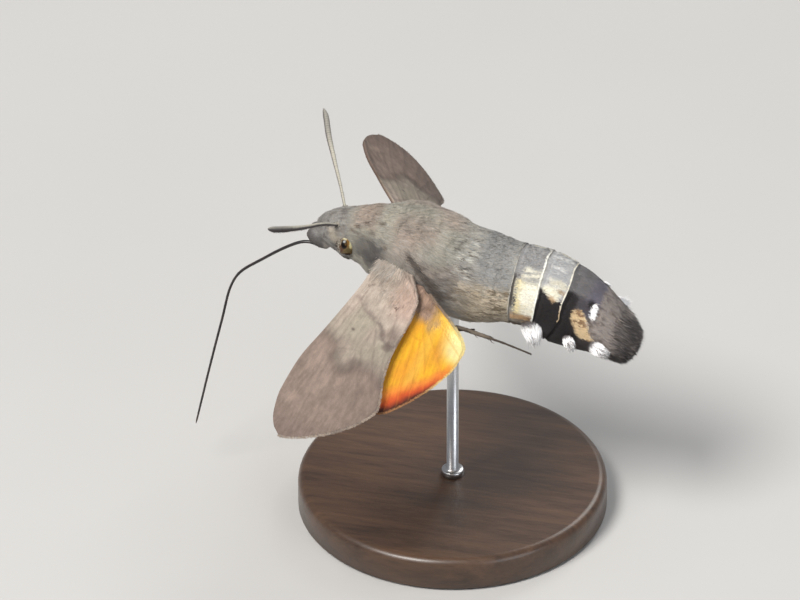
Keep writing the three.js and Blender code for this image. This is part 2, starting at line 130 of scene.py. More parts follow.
# ---------------------------------------------------------------- curves, noise and colour
def through(rows, column=1):
    """A smooth curve through rows of x and values that never runs past them."""
    rows = np.asarray(rows, float)
    x, y = rows[:, 0], rows[:, column]
    n = len(x)
    d = np.diff(y) / np.diff(x)
    m = [d[0]]
    for i in range(1, n - 1):
        a, b = x[i] - x[i - 1], x[i + 1] - x[i]
        m.append(0 if d[i - 1] * d[i] <= 0 else 3 * (a + b) / ((2 * b + a) / d[i - 1] + (b + 2 * a) / d[i]))
    m.append(d[-1])
    m = np.array(m)

    def f(v):
        v = np.asarray(v, float)
        i = np.clip(np.searchsorted(x, v, side="left") - 1, 0, n - 2)
        h = x[i + 1] - x[i]
        t = np.clip((v - x[i]) / h, 0, 1)
        return (y[i] * (1 + 2 * t) * (1 - t) ** 2 + h * m[i] * t * (1 - t) ** 2
                + y[i + 1] * t * t * (3 - 2 * t) + h * m[i + 1] * t * t * (t - 1))
    return f


def smooth(a, b, v):
    t = np.clip((np.asarray(v, float) - a) / (b - a), 0, 1)
    return t * t * (3 - 2 * t)


def band(v, a, b, soft=0.1):
    """1 between a and b, falling to 0 over soft on each side."""
    return smooth(a - soft, a + soft, v) * (1 - smooth(b - soft, b + soft, v))


def _hash(ix, iy, iz, seed):
    h = (ix * 374761393 + iy * 668265263 + iz * 1440662683 + seed * 1274126177) & 0xFFFFFFFF
    h = ((h ^ (h >> 13)) * 1274126177) & 0xFFFFFFFF
    h = ((h ^ (h >> 15)) * 2246822519) & 0xFFFFFFFF
    return ((h ^ (h >> 16)) & 0xFFFF) / 65535.0


def noise(P, size, seed=0):
    """Smooth value noise in -1..1 at points P, with cells of the given size in millimetres."""
    q = np.asarray(P, float) / np.asarray(size, float)
    i = np.floor(q).astype(np.int64)
    f = q - i
    f = f * f * (3 - 2 * f)
    out = 0.0
    for dx in (0, 1):
        for dy in (0, 1):
            for dz in (0, 1):
                w = ((f[..., 0] if dx else 1 - f[..., 0]) * (f[..., 1] if dy else 1 - f[..., 1])
                     * (f[..., 2] if dz else 1 - f[..., 2]))
                out = out + w * _hash(i[..., 0] + dx, i[..., 1] + dy, i[..., 2] + dz, seed)
    return out * 2 - 1


def unit(v):
    return v / (np.linalg.norm(v, axis=-1, keepdims=True) + 1e-12)


def rgb(*c):
    """A colour given as a screen colour of 0 to 255, kept that way until linear() is called."""
    return np.array(c, float) / 255.0


def linear(c):
    c = np.clip(c, 0, 1)
    return np.where(c <= 0.04045, c / 12.92, ((c + 0.055) / 1.055) ** 2.4)


def mix(a, b, k):
    k = np.asarray(k, float)[..., None]
    return a * (1 - k) + b * k


def gain(c, g):
    """A screen colour with its linear light multiplied by g."""
    v = np.clip(linear(c) * g, 0, 1)
    return np.where(v <= 0.0031308, v * 12.92, 1.055 * v ** (1 / 2.4) - 0.055)


def inside(x, y, polygon, soft, squash):
    """1 inside a polygon of x and y, 0 outside, soft over the given width; y is divided by squash first."""
    y = y / squash
    poly = [(px, py / squash) for px, py in polygon]
    hit = np.zeros(x.shape, bool)
    best = np.full(x.shape, 1e9)
    for (ax, ay), (bx, by) in zip(poly, poly[1:] + poly[:1]):
        cross = (ay > y) != (by > y)
        hit ^= cross & (x < (bx - ax) * (y - ay) / (by - ay + 1e-12) + ax)
        ux, uy = bx - ax, by - ay
        k = np.clip(((x - ax) * ux + (y - ay) * uy) / (ux * ux + uy * uy), 0, 1)
        best = np.minimum(best, np.hypot(x - ax - k * ux, y - ay - k * uy))
    return smooth(-soft, soft, np.where(hit, best, -best))


# ---------------------------------------------------------------- the body's surface
body_z, body_w, body_up, body_down = (through(BODY, k) for k in (1, 2, 3, 4))
coat_depth = through(COAT_DEPTH)
# rear edges of the three pale rings, by angle from the top
RING_LINES = [
    (np.array([0, 20, 70, 120, 180]), np.array([9.25, 9.28, 9.3, 9.3, 9.3])),
    (np.array([0, 16, 32, 49, 67, 86, 102, 180]), np.array([11.24, 11.3, 11.32, 11.33, 11.4, 11.46, 11.5, 11.5])),
    (np.array([0, 13, 28, 38, 48, 58, 69, 80, 180]), np.array([12.72, 12.77, 12.87, 12.91, 12.93, 12.99, 13.13, 13.36, 13.36])),
]


def section(t):
    """Middle, direction to the tail and direction up of the body's section at t."""
    reach = SLOPE_REACH + 0.9 * band(t, -4.6, -0.8, 1.0)  # no fold in the neck
    a = np.maximum(t - reach, BODY[0, 0])
    b = np.minimum(t + reach, BODY[-1, 0])
    slope = np.clip((body_z(b) - body_z(a)) / (b - a), -0.75, 0.3)
    run = np.sqrt(1 + slope * slope)
    zero = np.zeros_like(t)
    return (np.stack([t, zero, body_z(t)], -1), np.stack([1 / run, zero, slope / run], -1),
            np.stack([-slope / run, zero, 1 / run], -1))


def ring_at(i, th):
    """Section of the rear edge of a segment at an angle."""
    if 1 <= i <= 3:
        return np.interp(np.degrees(np.abs(th)), *RING_LINES[i - 1])
    return np.full(np.shape(th), RINGS[i])


def relief(t, th):
    """Steps of the abdomen's segments, each lapping over the next."""
    out = np.zeros_like(t)
    for i, deep in enumerate((0.03, 0.06, 0.07, 0.06, 0.02, 0.015)):
        d = t - ring_at(i, th)
        out += np.where(d < 0, 0.5 * deep * np.exp(np.minimum(d, 0) / 0.5), -deep * np.exp(-np.maximum(d, 0) / 0.35))
    return out


def body_point(t, th, inset=0.0):
    """Points at section t and at angle th from the top towards +Y, inset below the outline of the solids."""
    t, th = np.broadcast_arrays(np.asarray(t, float), np.asarray(th, float))
    mid, _, up = section(t)
    c, s = np.cos(th), np.sin(th)
    h = np.where(c > 0, body_up(t), body_down(t)) - inset
    w = body_w(t) - inset
    p = mid + up * (h * c)[..., None]
    p[..., 1] += w * s
    return p


def skin_point(t, th):
    return body_point(t, th, coat_depth(t) - relief(t, th))


def surface_frame(point, t, th, e=0.03):
    """Point, outward normal and the direction of growing t, on a surface given by point(t, th)."""
    p = point(t, th)
    pt = point(t + e, th) - point(t - e, th)
    ph = point(t, th + e) - point(t, th - e)
    n = unit(np.cross(ph, pt))
    mid = section(np.asarray(t, float))[0]
    flip = np.sign(((p - mid) * n).sum(-1, keepdims=True))
    n = n * np.where(flip == 0, 1, flip)
    a = unit(pt - n * (pt * n).sum(-1, keepdims=True))
    return p, n, a


def body_coords(P):
    """Section and angle of points near the body."""
    t = np.clip(P[:, 0] + 0.4 * (P[:, 2] - body_z(P[:, 0])), BODY[0, 0], BODY[-1, 0])
    for _ in range(14):
        mid, tan, up = section(t)
        f = ((P - mid) * tan).sum(-1)
        t = np.clip(t + 0.7 * f, BODY[0, 0], BODY[-1, 0])
    mid, tan, up = section(t)
    h = ((P - mid) * up).sum(-1)
    th = np.arctan2(P[:, 1] / body_w(t), h / np.where(h > 0, body_up(t), body_down(t)))
    return t, th


# ---------------------------------------------------------------- the coat's markings
COAT_GAIN = 0.86  # light that the locks give back on top of their own
BLACK = rgb(34, 30, 31)
BUFF_PATCH = [(13.78, 55), (14.26, 49), (15.05, 58), (15.79, 77), (16.5, 88), (15.21, 94), (14.3, 78), (13.8, 66)]
WHITE_BAR = [(14.88, 31), (15.18, 31), (15.3, 43), (15.3, 54), (15.0, 54), (14.94, 43)]


def markings(t, th, P):
    """Colour of skin and coat at a section and angle of the body."""
    a = np.degrees(np.abs(th))
    n0, n1, n2, n3 = noise(P, 3.4, 1), noise(P, 1.5, 2), noise(P, 0.7, 5), noise(P, 0.32, 3)
    streak = noise(P, (0.7, 0.16, 0.16), 4)
    w = 3.0 * n2 + 2.5 * n3  # unevenness of the borders, in degrees
    x = t + 0.04 * n2 + 0.04 * n3  # and along the body

    # thorax: olive grey with broad warm patches, greyer to the rear
    c = mix(rgb(160, 156, 144), rgb(170, 153, 141), smooth(0.0, 0.6, n0 + 0.3 * n1) * 0.75)
    c = mix(c, rgb(152, 150, 144), smooth(2.0, 5.0, t) * 0.85)
    c = mix(c, rgb(172, 168, 158), smooth(0.1, 0.8, n1) * (1 - smooth(45, 75, a)) * 0.4)
    c = mix(c, rgb(130, 125, 120), smooth(40, 85, a + w) * band(t, -2.5, 6.0, 1.2) * 0.65)
    # head: grey crown, warm patch behind it, brown flecks over the eye, dark cheek, pale front of the face
    c = mix(c, mix(rgb(156, 153, 149), rgb(124, 119, 116), smooth(-0.1, 0.5, streak + 0.4 * n2)), (1 - smooth(-5.6, -4.4, t)) * 0.85)
    c = mix(c, rgb(170, 152, 139), band(x, -4.7, -3.1, 0.45) * (1 - smooth(34, 54, a + w)) * 0.75)
    c = mix(c, rgb(108, 86, 72), smooth(0.35, 0.65, noise(P, (0.4, 0.2, 0.2), 11)) * band(x, -5.3, -3.6, 0.4) * band(a, 30, 62, 8) * 0.75)
    c = mix(c, rgb(80, 77, 76), band(x, -4.3, -1.7, 0.6) * band(a + w + 6 * streak, 58, 102, 10) * (0.6 + 0.3 * smooth(-0.4, 0.3, n2 + 0.5 * n3)))
    c = mix(c, rgb(206, 194, 176), band(x, -6.3, -5.5, 0.25) * band(a + w, 58, 98, 9) * 0.8)
    c = mix(c, rgb(120, 116, 113), (1 - smooth(-7.6, -6.9, x)) * 0.6)
    for at, angle in ((-4.37, 44), (-3.83, 35), (-3.19, 48), (-4.63, 57), (-2.7, 30), (-1.9, 62)):
        c = mix(c, rgb(92, 80, 70), np.exp(-(((x - at) / 0.2) ** 2) - ((a + 0.5 * w - angle) / 3.5) ** 2) * 0.75)
    # throat and underside: paler, ashy
    c = mix(c, rgb(178, 171, 163), smooth(112, 138, a + w) * (1 - smooth(4.5, 7.0, t)) * 0.85)
    # warm tint over the wing roots; behind them dark streaks, darkened as painted shade of the gap between wing and
    # body
    c = mix(c, rgb(160, 140, 129), band(x, -1.6, 1.6, 0.8) * band(a + w, 14, 46, 14) * 0.5)
    c = mix(c, rgb(92, 86, 82), smooth(-0.2, 0.5, streak + 0.3 * n1) * band(x, 0.6, 4.6, 0.9) * band(a + w, 66, 104, 12) * 0.7)
    # short dark dashes and pale ones on the waist
    dash = noise(P, (0.42, 0.15, 0.15), 8)
    c = mix(c, rgb(88, 84, 78), smooth(0.26, 0.52, dash) * band(x, 3.0, 7.4, 0.7) * band(a, 10, 68, 12) * 0.85)
    c = mix(c, rgb(206, 204, 194), smooth(0.36, 0.62, -dash) * band(x, 3.2, 6.8, 0.6) * band(a, 16, 64, 10) * 0.75)
    c = mix(c, rgb(112, 106, 100), smooth(0.6, 0.85, dash) * band(x, -5.0, 3.0, 0.7) * (1 - smooth(80, 100, a)) * 0.45)
    # fore part of the abdomen: grey above, greyish buff with brown strands on the sides
    c = mix(c, rgb(146, 145, 142), band(x, 5.6, 9.1, 0.6) * (1 - smooth(50, 74, a)))
    c = mix(c, rgb(104, 101, 97), smooth(0.36, 0.62, dash) * band(x, 6.4, 9.0, 0.6) * (1 - smooth(50, 70, a)) * 0.55)
    flank = smooth(58, 78, a + w + 8 * streak) * smooth(3.6, 6.4, x + 0.9 * n1 + 0.7 * streak) * (1 - smooth(9.05, 9.2, x))
    fine = noise(P, (0.5, 0.1, 0.1), 15)
    buff = mix(rgb(190, 176, 153), rgb(104, 92, 74), smooth(-0.1, 0.4, streak + 0.35 * n2) * (0.5 + 0.4 * smooth(6.4, 8.2, x)))
    buff = mix(buff, rgb(206, 190, 170), smooth(0.25, 0.6, fine) * 0.8)
    buff = mix(buff, rgb(96, 84, 68), smooth(0.25, 0.6, -fine) * 0.7)
    c = mix(c, buff, flank * 0.9)
    c = mix(c, rgb(128, 121, 110), smooth(118, 142, a + w) * band(x, 5.2, 9.4, 0.6) * 0.7)
    # behind the first ring: grey above, a dark line on the side, cream streaks and the cream yellow patch
    c = mix(c, rgb(150, 149, 148), band(x, 9.28, 11.25, 0.08) * (1 - smooth(40, 52, a + w)))
    c = mix(c, rgb(66, 60, 56), band(x, 9.34, 9.56, 0.07) * band(a + w, 38, 84, 6) * 0.9)
    patch = band(x, 9.66, 11.4, 0.09) * band(a + w, 46, 97, 4)
    cream = mix(rgb(234, 218, 170), rgb(241, 237, 219), smooth(9.75, 10.3, x + 0.2 * n2))
    cream = mix(cream, rgb(216, 202, 170), smooth(0.2, 0.7, streak) * 0.4)
    c = mix(c, cream, patch)
    up_streak = band(x, 9.8, 11.3, 0.15) * band(a + w, 25, 46, 5)
    c = mix(c, rgb(224, 219, 200), up_streak * (0.3 + 0.6 * smooth(-0.2, 0.5, streak)))
    c = mix(c, mix(rgb(198, 160, 118), rgb(120, 92, 68), smooth(0.0, 0.5, streak)), band(x, 9.5, 11.3, 0.12) * band(a + w + 5 * streak, 97, 114, 6) * 0.9)
    c = mix(c, rgb(100, 86, 70), band(x, 9.3, 11.4, 0.12) * smooth(118, 128, a + w) * 0.9)
    # between the second and the third ring: greyish white, a cream patch on the side, black below
    second, third = (np.interp(a, *RING_LINES[k]) for k in (1, 2))
    mid = smooth(-0.05, 0.05, x - second - 0.02) * (1 - smooth(-0.05, 0.05, x - third))
    c = mix(c, mix(rgb(176, 176, 176), rgb(206, 206, 204), smooth(-0.1, 0.6, n2 + 0.5 * streak)), mid)
    c = mix(c, rgb(232, 227, 206), mid * band(x, 11.45, 12.55, 0.12) * band(a + w, 43, 64, 4))
    c = mix(c, rgb(228, 220, 192), mid * band(x, 11.7, 12.7, 0.2) * band(a + w, 29, 41, 4) * 0.6)
    c = mix(c, rgb(168, 140, 108), mid * smooth(0.0, 0.5, streak) * band(x, 12.3, 12.8, 0.12) * band(a, 38, 51, 4) * 0.7)
    c = mix(c, rgb(176, 142, 104), mid * band(x, 11.85, 12.55, 0.12) * band(a + w, 57, 66, 3) * 0.85)
    low = np.interp(x, [11.3, 11.48, 11.79, 12.23, 12.75, 13.2], [49, 50, 56, 63, 54, 50])
    c = mix(c, BLACK, mid * smooth(low - 2.5, low + 2.5, a + 0.7 * w))
    # behind the third ring: dark grey above, black sides, the buff patch
    rear = smooth(-0.04, 0.04, x - third)
    c = mix(c, mix(rgb(112, 109, 110), rgb(104, 100, 110), smooth(13.9, 14.7, x)), rear)
    c = mix(c, BLACK, rear * band(x, 12.7, 13.85, 0.15) * smooth(33, 43, a + w) * 0.95)
    c = mix(c, rgb(66, 62, 66), rear * band(x, 13.8, 15.0, 0.2) * band(a + w, 34, 52, 6) * 0.8)
    c = mix(c, BLACK, rear * band(x, 14.5, 14.95, 0.08) * band(a, 28, 40, 4) * 0.9)
    c = mix(c, BLACK, rear * smooth(52, 60, a + w))
    # brown grey rear and the dark tail
    tail = smooth(15.2, 15.4, x + 0.12 * n2)
    c = mix(c, mix(rgb(150, 141, 135), rgb(112, 102, 97), smooth(-0.1, 0.6, streak + 0.5 * n2)), tail)
    c = mix(c, rgb(52, 46, 45), tail * smooth(74, 96, a + w) * 0.9)
    c = mix(c, mix(rgb(62, 57, 56), rgb(116, 110, 106), smooth(0.0, 0.6, streak + 0.25 * n1)), tail * smooth(16.5, 18.3, x + 0.45 * n2 + 0.8 * streak) * 0.92)
    c = mix(c, rgb(42, 38, 38), tail * smooth(17.2, 18.8, x + 0.4 * streak) * smooth(40, 75, a) * 0.75)
    ob = inside(x, a + 0.5 * w, BUFF_PATCH, 0.09, 15.5)
    hair = mix(rgb(216, 190, 150), rgb(140, 110, 82), smooth(0.0, 0.5, streak + 0.3 * n3))
    hair = mix(hair, rgb(226, 214, 192), smooth(0.28, 0.0, np.abs((x - 15.1) - (a - 60) * 0.045)) * 0.8)
    c = mix(c, hair, ob)
    # white bars on the upper side
    c = mix(c, rgb(250, 250, 250), inside(x, a + 0.3 * w, WHITE_BAR, 0.05, 15.5))
    # painted shadow in the crease behind the wing root, fainter on the far side, with dark strands below it that are
    # partly painted shade as well
    crease_shadow = np.abs(a - np.interp(x, [-0.07, 0.35, 0.89, 1.61, 2.29, 2.94, 3.82], [59, 63, 69, 76, 83, 91, 101]) + 0.5 * w)
    c = mix(c, rgb(76, 69, 64), (1 - smooth(1.2 + 0.8 * x, 5.0 + 1.8 * x + 2 * n2, crease_shadow)) * band(x, -0.1, 3.6, 0.35) * (0.7 + 0.3 * smooth(-0.5, 0.3, streak)) * np.where(P[..., 1] > 0, 0.45, 1.0))
    c = mix(c, rgb(104, 95, 88), smooth(0.1, 0.5, streak) * (1 - smooth(5, 13, crease_shadow)) * band(x, 0.3, 4.6, 0.5) * 0.7)
    mottle = 0.035 * n1 + 0.045 * n3 + 0.05 * noise(P, (0.55, 0.2, 0.2), 14) * (1 - smooth(8.5, 9.5, t))
    c = c * (1 + mottle[..., None])
    head = 1 - 0.14 * (1 - smooth(-4.2, -2.2, t)) - 0.09 * band(t, -1.0, 5.0, 1.2) * smooth(8, 50, a)
    return gain(c, COAT_GAIN * head[..., None])


# ---------------------------------------------------------------- meshes
def build_mesh(name, verts, tris, tint=None, uv=None, shade_smooth=True, quads=None, normals=None):
    """A mesh object from vertices in millimetres from the thorax; tint, uv and normals are per vertex."""
    me = bpy.data.meshes.new(name)
    verts = (np.asarray(verts, float) + PLACE) * MM
    faces3 = np.asarray(tris, np.int32).reshape(-1, 3) if tris is not None else np.zeros((0, 3), np.int32)
    faces4 = np.asarray(quads, np.int32).reshape(-1, 4) if quads is not None else np.zeros((0, 4), np.int32)
    loops = np.concatenate([faces3.ravel(), faces4.ravel()]).astype(np.int32)
    starts = np.concatenate([np.arange(len(faces3)) * 3, len(faces3) * 3 + np.arange(len(faces4)) * 4]).astype(np.int32)
    me.vertices.add(len(verts))
    me.vertices.foreach_set("co", verts.astype(np.float32).ravel())
    me.loops.add(len(loops))
    me.loops.foreach_set("vertex_index", loops)
    me.polygons.add(len(starts))
    me.polygons.foreach_set("loop_start", starts)
    me.polygons.foreach_set("use_smooth", np.full(len(starts), shade_smooth))
    me.update(calc_edges=True)
    if tint is not None:
        col = me.color_attributes.new(name="Tint", type="FLOAT_COLOR", domain="POINT")
        rgba = np.ones((len(verts), 4), np.float32)
        rgba[:, :3] = linear(tint)
        col.data.foreach_set("color", rgba.ravel())
    if uv is not None:
        layer = me.uv_layers.new(name="OFBake")
        layer.data.foreach_set("uv", np.asarray(uv, np.float32)[loops].ravel())
    if normals is not None:
        me.normals_split_custom_set_from_vertices(np.asarray(normals, np.float32))
    o = bpy.data.objects.new(name, me)
    bpy.context.scene.collection.objects.link(o)
    return o


def finish_piece(o, material, slot, *replaced):
    o.data.materials.clear()
    o.data.materials.append(material)
    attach(o, "root")
    if replaced:
        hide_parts(*replaced)
    return o


class Coat:
    """Gathers locks and writes them as meshes of under 200,000 triangles.
    soft is the share of the skin's normal in the shading of the locks, None for their own normals only."""

    def __init__(self, soft=0.6, flat=False):
        self.v, self.f, self.c, self.uv, self.n, self.soft, self.flat = [], [], [], [], [], soft, flat

    def add(self, root, normal, lie, length, width, lift, tint, uv, rng, bend=0.7, blunt=0.0, fine=True,
            spread=8.0, sink=0.05, thick=0.4, dark=0.86, wave=0.05, shade=0.04, face=None):
        """Locks: root points, outward normals and lie directions; length, width and lift in mm and degrees, per lock.
        A fine lock is a spindle with a bend in it (6 triangles); a plain one is a single straight scale (4)."""
        n = len(root)
        if not n:
            return
        length, width, lift = (np.broadcast_to(np.asarray(v, float), n) for v in (length, width, lift))
        side = unit(np.cross(lie, normal))
        turn = np.radians(rng.normal(0, spread, n))[:, None]
        d = unit(lie * np.cos(turn) + side * np.sin(turn))
        side = unit(np.cross(d, normal))
        roll = rng.normal(0, 0.25, n)[:, None]
        up = unit(normal * np.cos(roll) + side * np.sin(roll))
        side = unit(np.cross(d, up))
        lf = np.radians(lift + rng.normal(0, 3.0, n))[:, None]
        ln = (length * rng.uniform(0.8, 1.12, n))[:, None]
        wd = (width * rng.uniform(0.8, 1.2, n))[:, None]
        p0 = root - normal * sink
        d0 = d * np.cos(lf) + normal * np.sin(lf)
        l1 = lf * (1 - bend)
        d1 = d * np.cos(l1) + normal * np.sin(l1)
        tone = rng.normal(1.0, shade, n)[:, None]
        hue = rng.normal(0, 0.008, (n, 1)) * np.array([1.0, 0.1, -1.0])
        base = np.clip(tint * tone + hue, 0, 1)
        if fine:
            pm = p0 + d0 * ln * 0.42
            pt = pm + d1 * ln * 0.58 + side * (rng.normal(0, wave, n)[:, None] * ln)
            h = wd * 0.5
            V = np.stack([p0, pm - side * h, pm + side * h, pm + up * h * thick * 2, pt], 1)
            F = np.array([[0, 1, 2], [0, 2, 3], [0, 3, 1], [1, 4, 2], [2, 4, 3], [3, 4, 1]])
            # painted shade: the root of each lock, down in the coat, is darker, and its tip a little lighter
            k = np.array([dark, 0.97, 0.97, 1.0, 1.05])
            du = np.array([[0, -.0014], [-.0009, 0], [.0009, 0], [0, .0004], [0, .0015]])
            N = np.stack([up, up * 0.5 - side, up * 0.5 + side, up, up], 1)
        else:
            pt = p0 + d0 * ln
            h = wd * 0.5
            b = (rng.random(n) < blunt)[:, None]
            wide_root = np.where(b, h * 0.45, h * 0.9)
            wide_tip = np.where(b, h * 0.95, h * 0.06)
            V = np.stack([p0 - side * wide_root + up * wide_root * thick, p0 + side * wide_root,
                          pt - side * wide_tip, pt + side * wide_tip + up * wide_tip * thick], 1)
            F = np.array([[0, 1, 3], [0, 3, 2], [0, 2, 1], [1, 2, 3]])
            # painted shade here too: darker at the root, lighter at the tip
            k = np.array([dark, dark, 1.03, 1.03])
            du = np.array([[-.0008, -.0013], [.0008, -.0013], [-.0006, .0013], [.0006, .0013]])
            N = np.stack([up - side * 0.3, up + side * 0.3, up - side * 0.3, up + side * 0.3], 1)
        if self.soft is not None:
            N = unit(unit(N) * (1 - self.soft) + (normal if face is None else face)[:, None, :] * self.soft)
        self.v.append(V)
        self.f.append(F)
        self.n.append(N)
        self.c.append(np.clip(base[:, None, :] * k[None, :, None], 0, 1))
        self.uv.append(np.clip(uv[:, None, :] + du[None], 0.001, 0.999))

    def write(self, name, material, slot):
        """Writes the gathered locks in as few pieces as the limit allows."""
        made = []
        verts, tris, tint, uv, nor, nv, nt = [], [], [], [], [], 0, 0

        def flush():
            nonlocal verts, tris, tint, uv, nor, nv, nt
            if nt:
                suffix = f"_{len(made) + 1}"
                o = build_mesh(name + suffix, np.concatenate(verts), np.concatenate(tris), np.concatenate(tint), np.concatenate(uv),
                               shade_smooth=not self.flat, normals=None if self.soft is None else np.concatenate(nor))
                made.append(finish_piece(o, material, slot))
            verts, tris, tint, uv, nor, nv, nt = [], [], [], [], [], 0, 0

        for V, F, C, U, N in zip(self.v, self.f, self.c, self.uv, self.n):
            start = 0
            while start < len(V):
                room = (195000 - nt) // len(F)
                if room < 50:
                    flush()
                    continue
                part = slice(start, start + room)
                k, m = V[part].shape[:2]
                verts.append(V[part].reshape(-1, 3))
                tint.append(C[part].reshape(-1, 3))
                uv.append(U[part].reshape(-1, 2))
                nor.append(N[part].reshape(-1, 3))
                tris.append((nv + np.arange(k)[:, None, None] * m + F[None]).reshape(-1, 3))
                nv += k * m
                nt += k * len(F)
                start += room
        flush()
        return made


# ---------------------------------------------------------------- tubes along smooth paths
def catmull(path, us):
    """Points of the centripetal curve through path at shares us of its steps."""
    p = np.asarray(path, float)
    n = len(p) - 1
    ext = np.vstack([2 * p[0] - p[1], p, 2 * p[-1] - p[-2]])
    out = []
    for u in us:
        f = min(max(u, 0.0), 1.0) * n
        i = min(int(f), n - 1)
        w = f - i
        a, b, c, d = ext[i], ext[i + 1], ext[i + 2], ext[i + 3]
        t0, t1, t2 = (max(np.linalg.norm(q - r), 1e-4) ** 0.5 for q, r in ((b, a), (c, b), (d, c)))
        m1 = ((b - a) / t0 - (c - a) / (t0 + t1) + (c - b) / t1) * t1
        m2 = ((c - b) / t1 - (d - b) / (t1 + t2) + (d - c) / t2) * t1
        out.append(b * (2 * w ** 3 - 3 * w * w + 1) + m1 * (w ** 3 - 2 * w * w + w) + c * (-2 * w ** 3 + 3 * w * w) + m2 * (w ** 3 - w * w))
    return np.array(out)


class Tube:
    """A round or oval limb along a smooth path, with even steps along its length."""

    def __init__(self, path, steps=120, side_hint=(0, 0, 1)):
        fine = catmull(path, np.linspace(0, 1, 600))
        s = np.concatenate([[0], np.cumsum(np.linalg.norm(np.diff(fine, axis=0), axis=1))])
        self.length = s[-1]
        self.s = np.linspace(0, 1, steps)
        self.p = np.stack([np.interp(self.s * s[-1], s, fine[:, k]) for k in range(3)], -1)
        self.t = unit(np.gradient(self.p, axis=0))
        up = np.array(side_hint, float)
        self.u, self.w = [], []
        for t in self.t:
            up = up - t * (up @ t)
            up = up / np.linalg.norm(up)
            self.u.append(up)
            self.w.append(np.cross(t, up))
        self.u, self.w = np.array(self.u), np.array(self.w)

    def at(self, s, f, rw, rh):
        """Point, normal and direction along, at share s and angle f from the up side, with half width and height there."""
        p, t, u, w = (np.stack([np.interp(s, self.s, a[:, k]) for k in range(3)], -1) for a in (self.p, self.t, self.u, self.w))
        c, d = np.cos(f)[..., None], np.sin(f)[..., None]
        rw, rh = np.asarray(rw)[..., None], np.asarray(rh)[..., None]
        pos = p + u * c * rh + w * d * rw
        nor = unit(u * c / rh + w * d / rw)
        return pos, nor, unit(t)


def tube_mesh(tube, radius_w, radius_h, rings, sides, s0=0.0, s1=1.0, wobble=None):
    """Vertices and quads of a closed tube; radius_w and radius_h are functions of the share along it."""
    s = np.linspace(s0, s1, rings)
    f = np.arange(sides) * 2 * np.pi / sides
    S, Fg = np.meshgrid(s, f, indexing="ij")
    rw, rh = radius_w(S), radius_h(S)
    if wobble is not None:
        k = wobble(S, Fg)
        rw, rh = rw * k, rh * k
    P, N, T = tube.at(S, Fg, np.maximum(rw, 1e-3), np.maximum(rh, 1e-3))
    verts = P.reshape(-1, 3)
    idx = np.arange(rings * sides).reshape(rings, sides)
    nxt = np.roll(idx, -1, axis=1)
    quads = np.stack([idx[:-1], nxt[:-1], nxt[1:], idx[1:]], -1).reshape(-1, 4)
    ends = np.vstack([verts[idx[0]].mean(0), verts[idx[-1]].mean(0)])
    a, b = len(verts), len(verts) + 1
    caps = np.concatenate([np.stack([np.full(sides, a), nxt[0], idx[0]], -1), np.stack([np.full(sides, b), idx[-1], nxt[-1]], -1)])
    verts = np.vstack([verts, ends])
    # faces out
    e1, e2 = verts[quads[:, 1]] - verts[quads[:, 0]], verts[quads[:, 3]] - verts[quads[:, 0]]
    if (np.cross(e1, e2) * N.reshape(-1, 3)[quads[:, 0]]).sum() < 0:
        quads = quads[:, ::-1]
        caps = caps[:, ::-1]
    uv = np.vstack([np.stack([0.02 + 0.96 * (S - s0) / (s1 - s0), 0.02 + 0.96 * Fg / (2 * np.pi)], -1).reshape(-1, 2), [[0.01, 0.5], [0.99, 0.5]]])
    nor = np.vstack([N.reshape(-1, 3), -T[0, 0], T[-1, 0]])
    share = np.concatenate([S.ravel(), [s0, s1]])
    return verts, quads, caps, uv, nor, share


def joined(parts):
    """Several (verts, quads, tris, uv, tint) in one set of arrays."""
    V, Q, T, U, C, n = [], [], [], [], [], 0
    for v, q, t, u, c in parts:
        V.append(v)
        Q.append(np.asarray(q).reshape(-1, 4) + n)
        T.append(np.asarray(t).reshape(-1, 3) + n)
        U.append(u)
        C.append(c)
        n += len(v)
    return np.vstack(V), np.vstack(Q), np.vstack(T), np.vstack(U), np.vstack(C)


# ---------------------------------------------------------------- materials
def new_material(name):
    m = bpy.data.materials.new(name)
    m.use_nodes = True
    nt = m.node_tree
    nt.nodes.clear()
    out = nt.nodes.new("ShaderNodeOutputMaterial")
    bsdf = nt.nodes.new("ShaderNodeBsdfPrincipled")
    nt.links.new(bsdf.outputs[0], out.inputs[0])
    return m, nt, bsdf


def node(nt, kind, **values):
    n = nt.nodes.new(kind)
    for k, v in values.items():
        if k in n.inputs:
            n.inputs[k].default_value = v
        else:
            setattr(n, k, v)
    return n


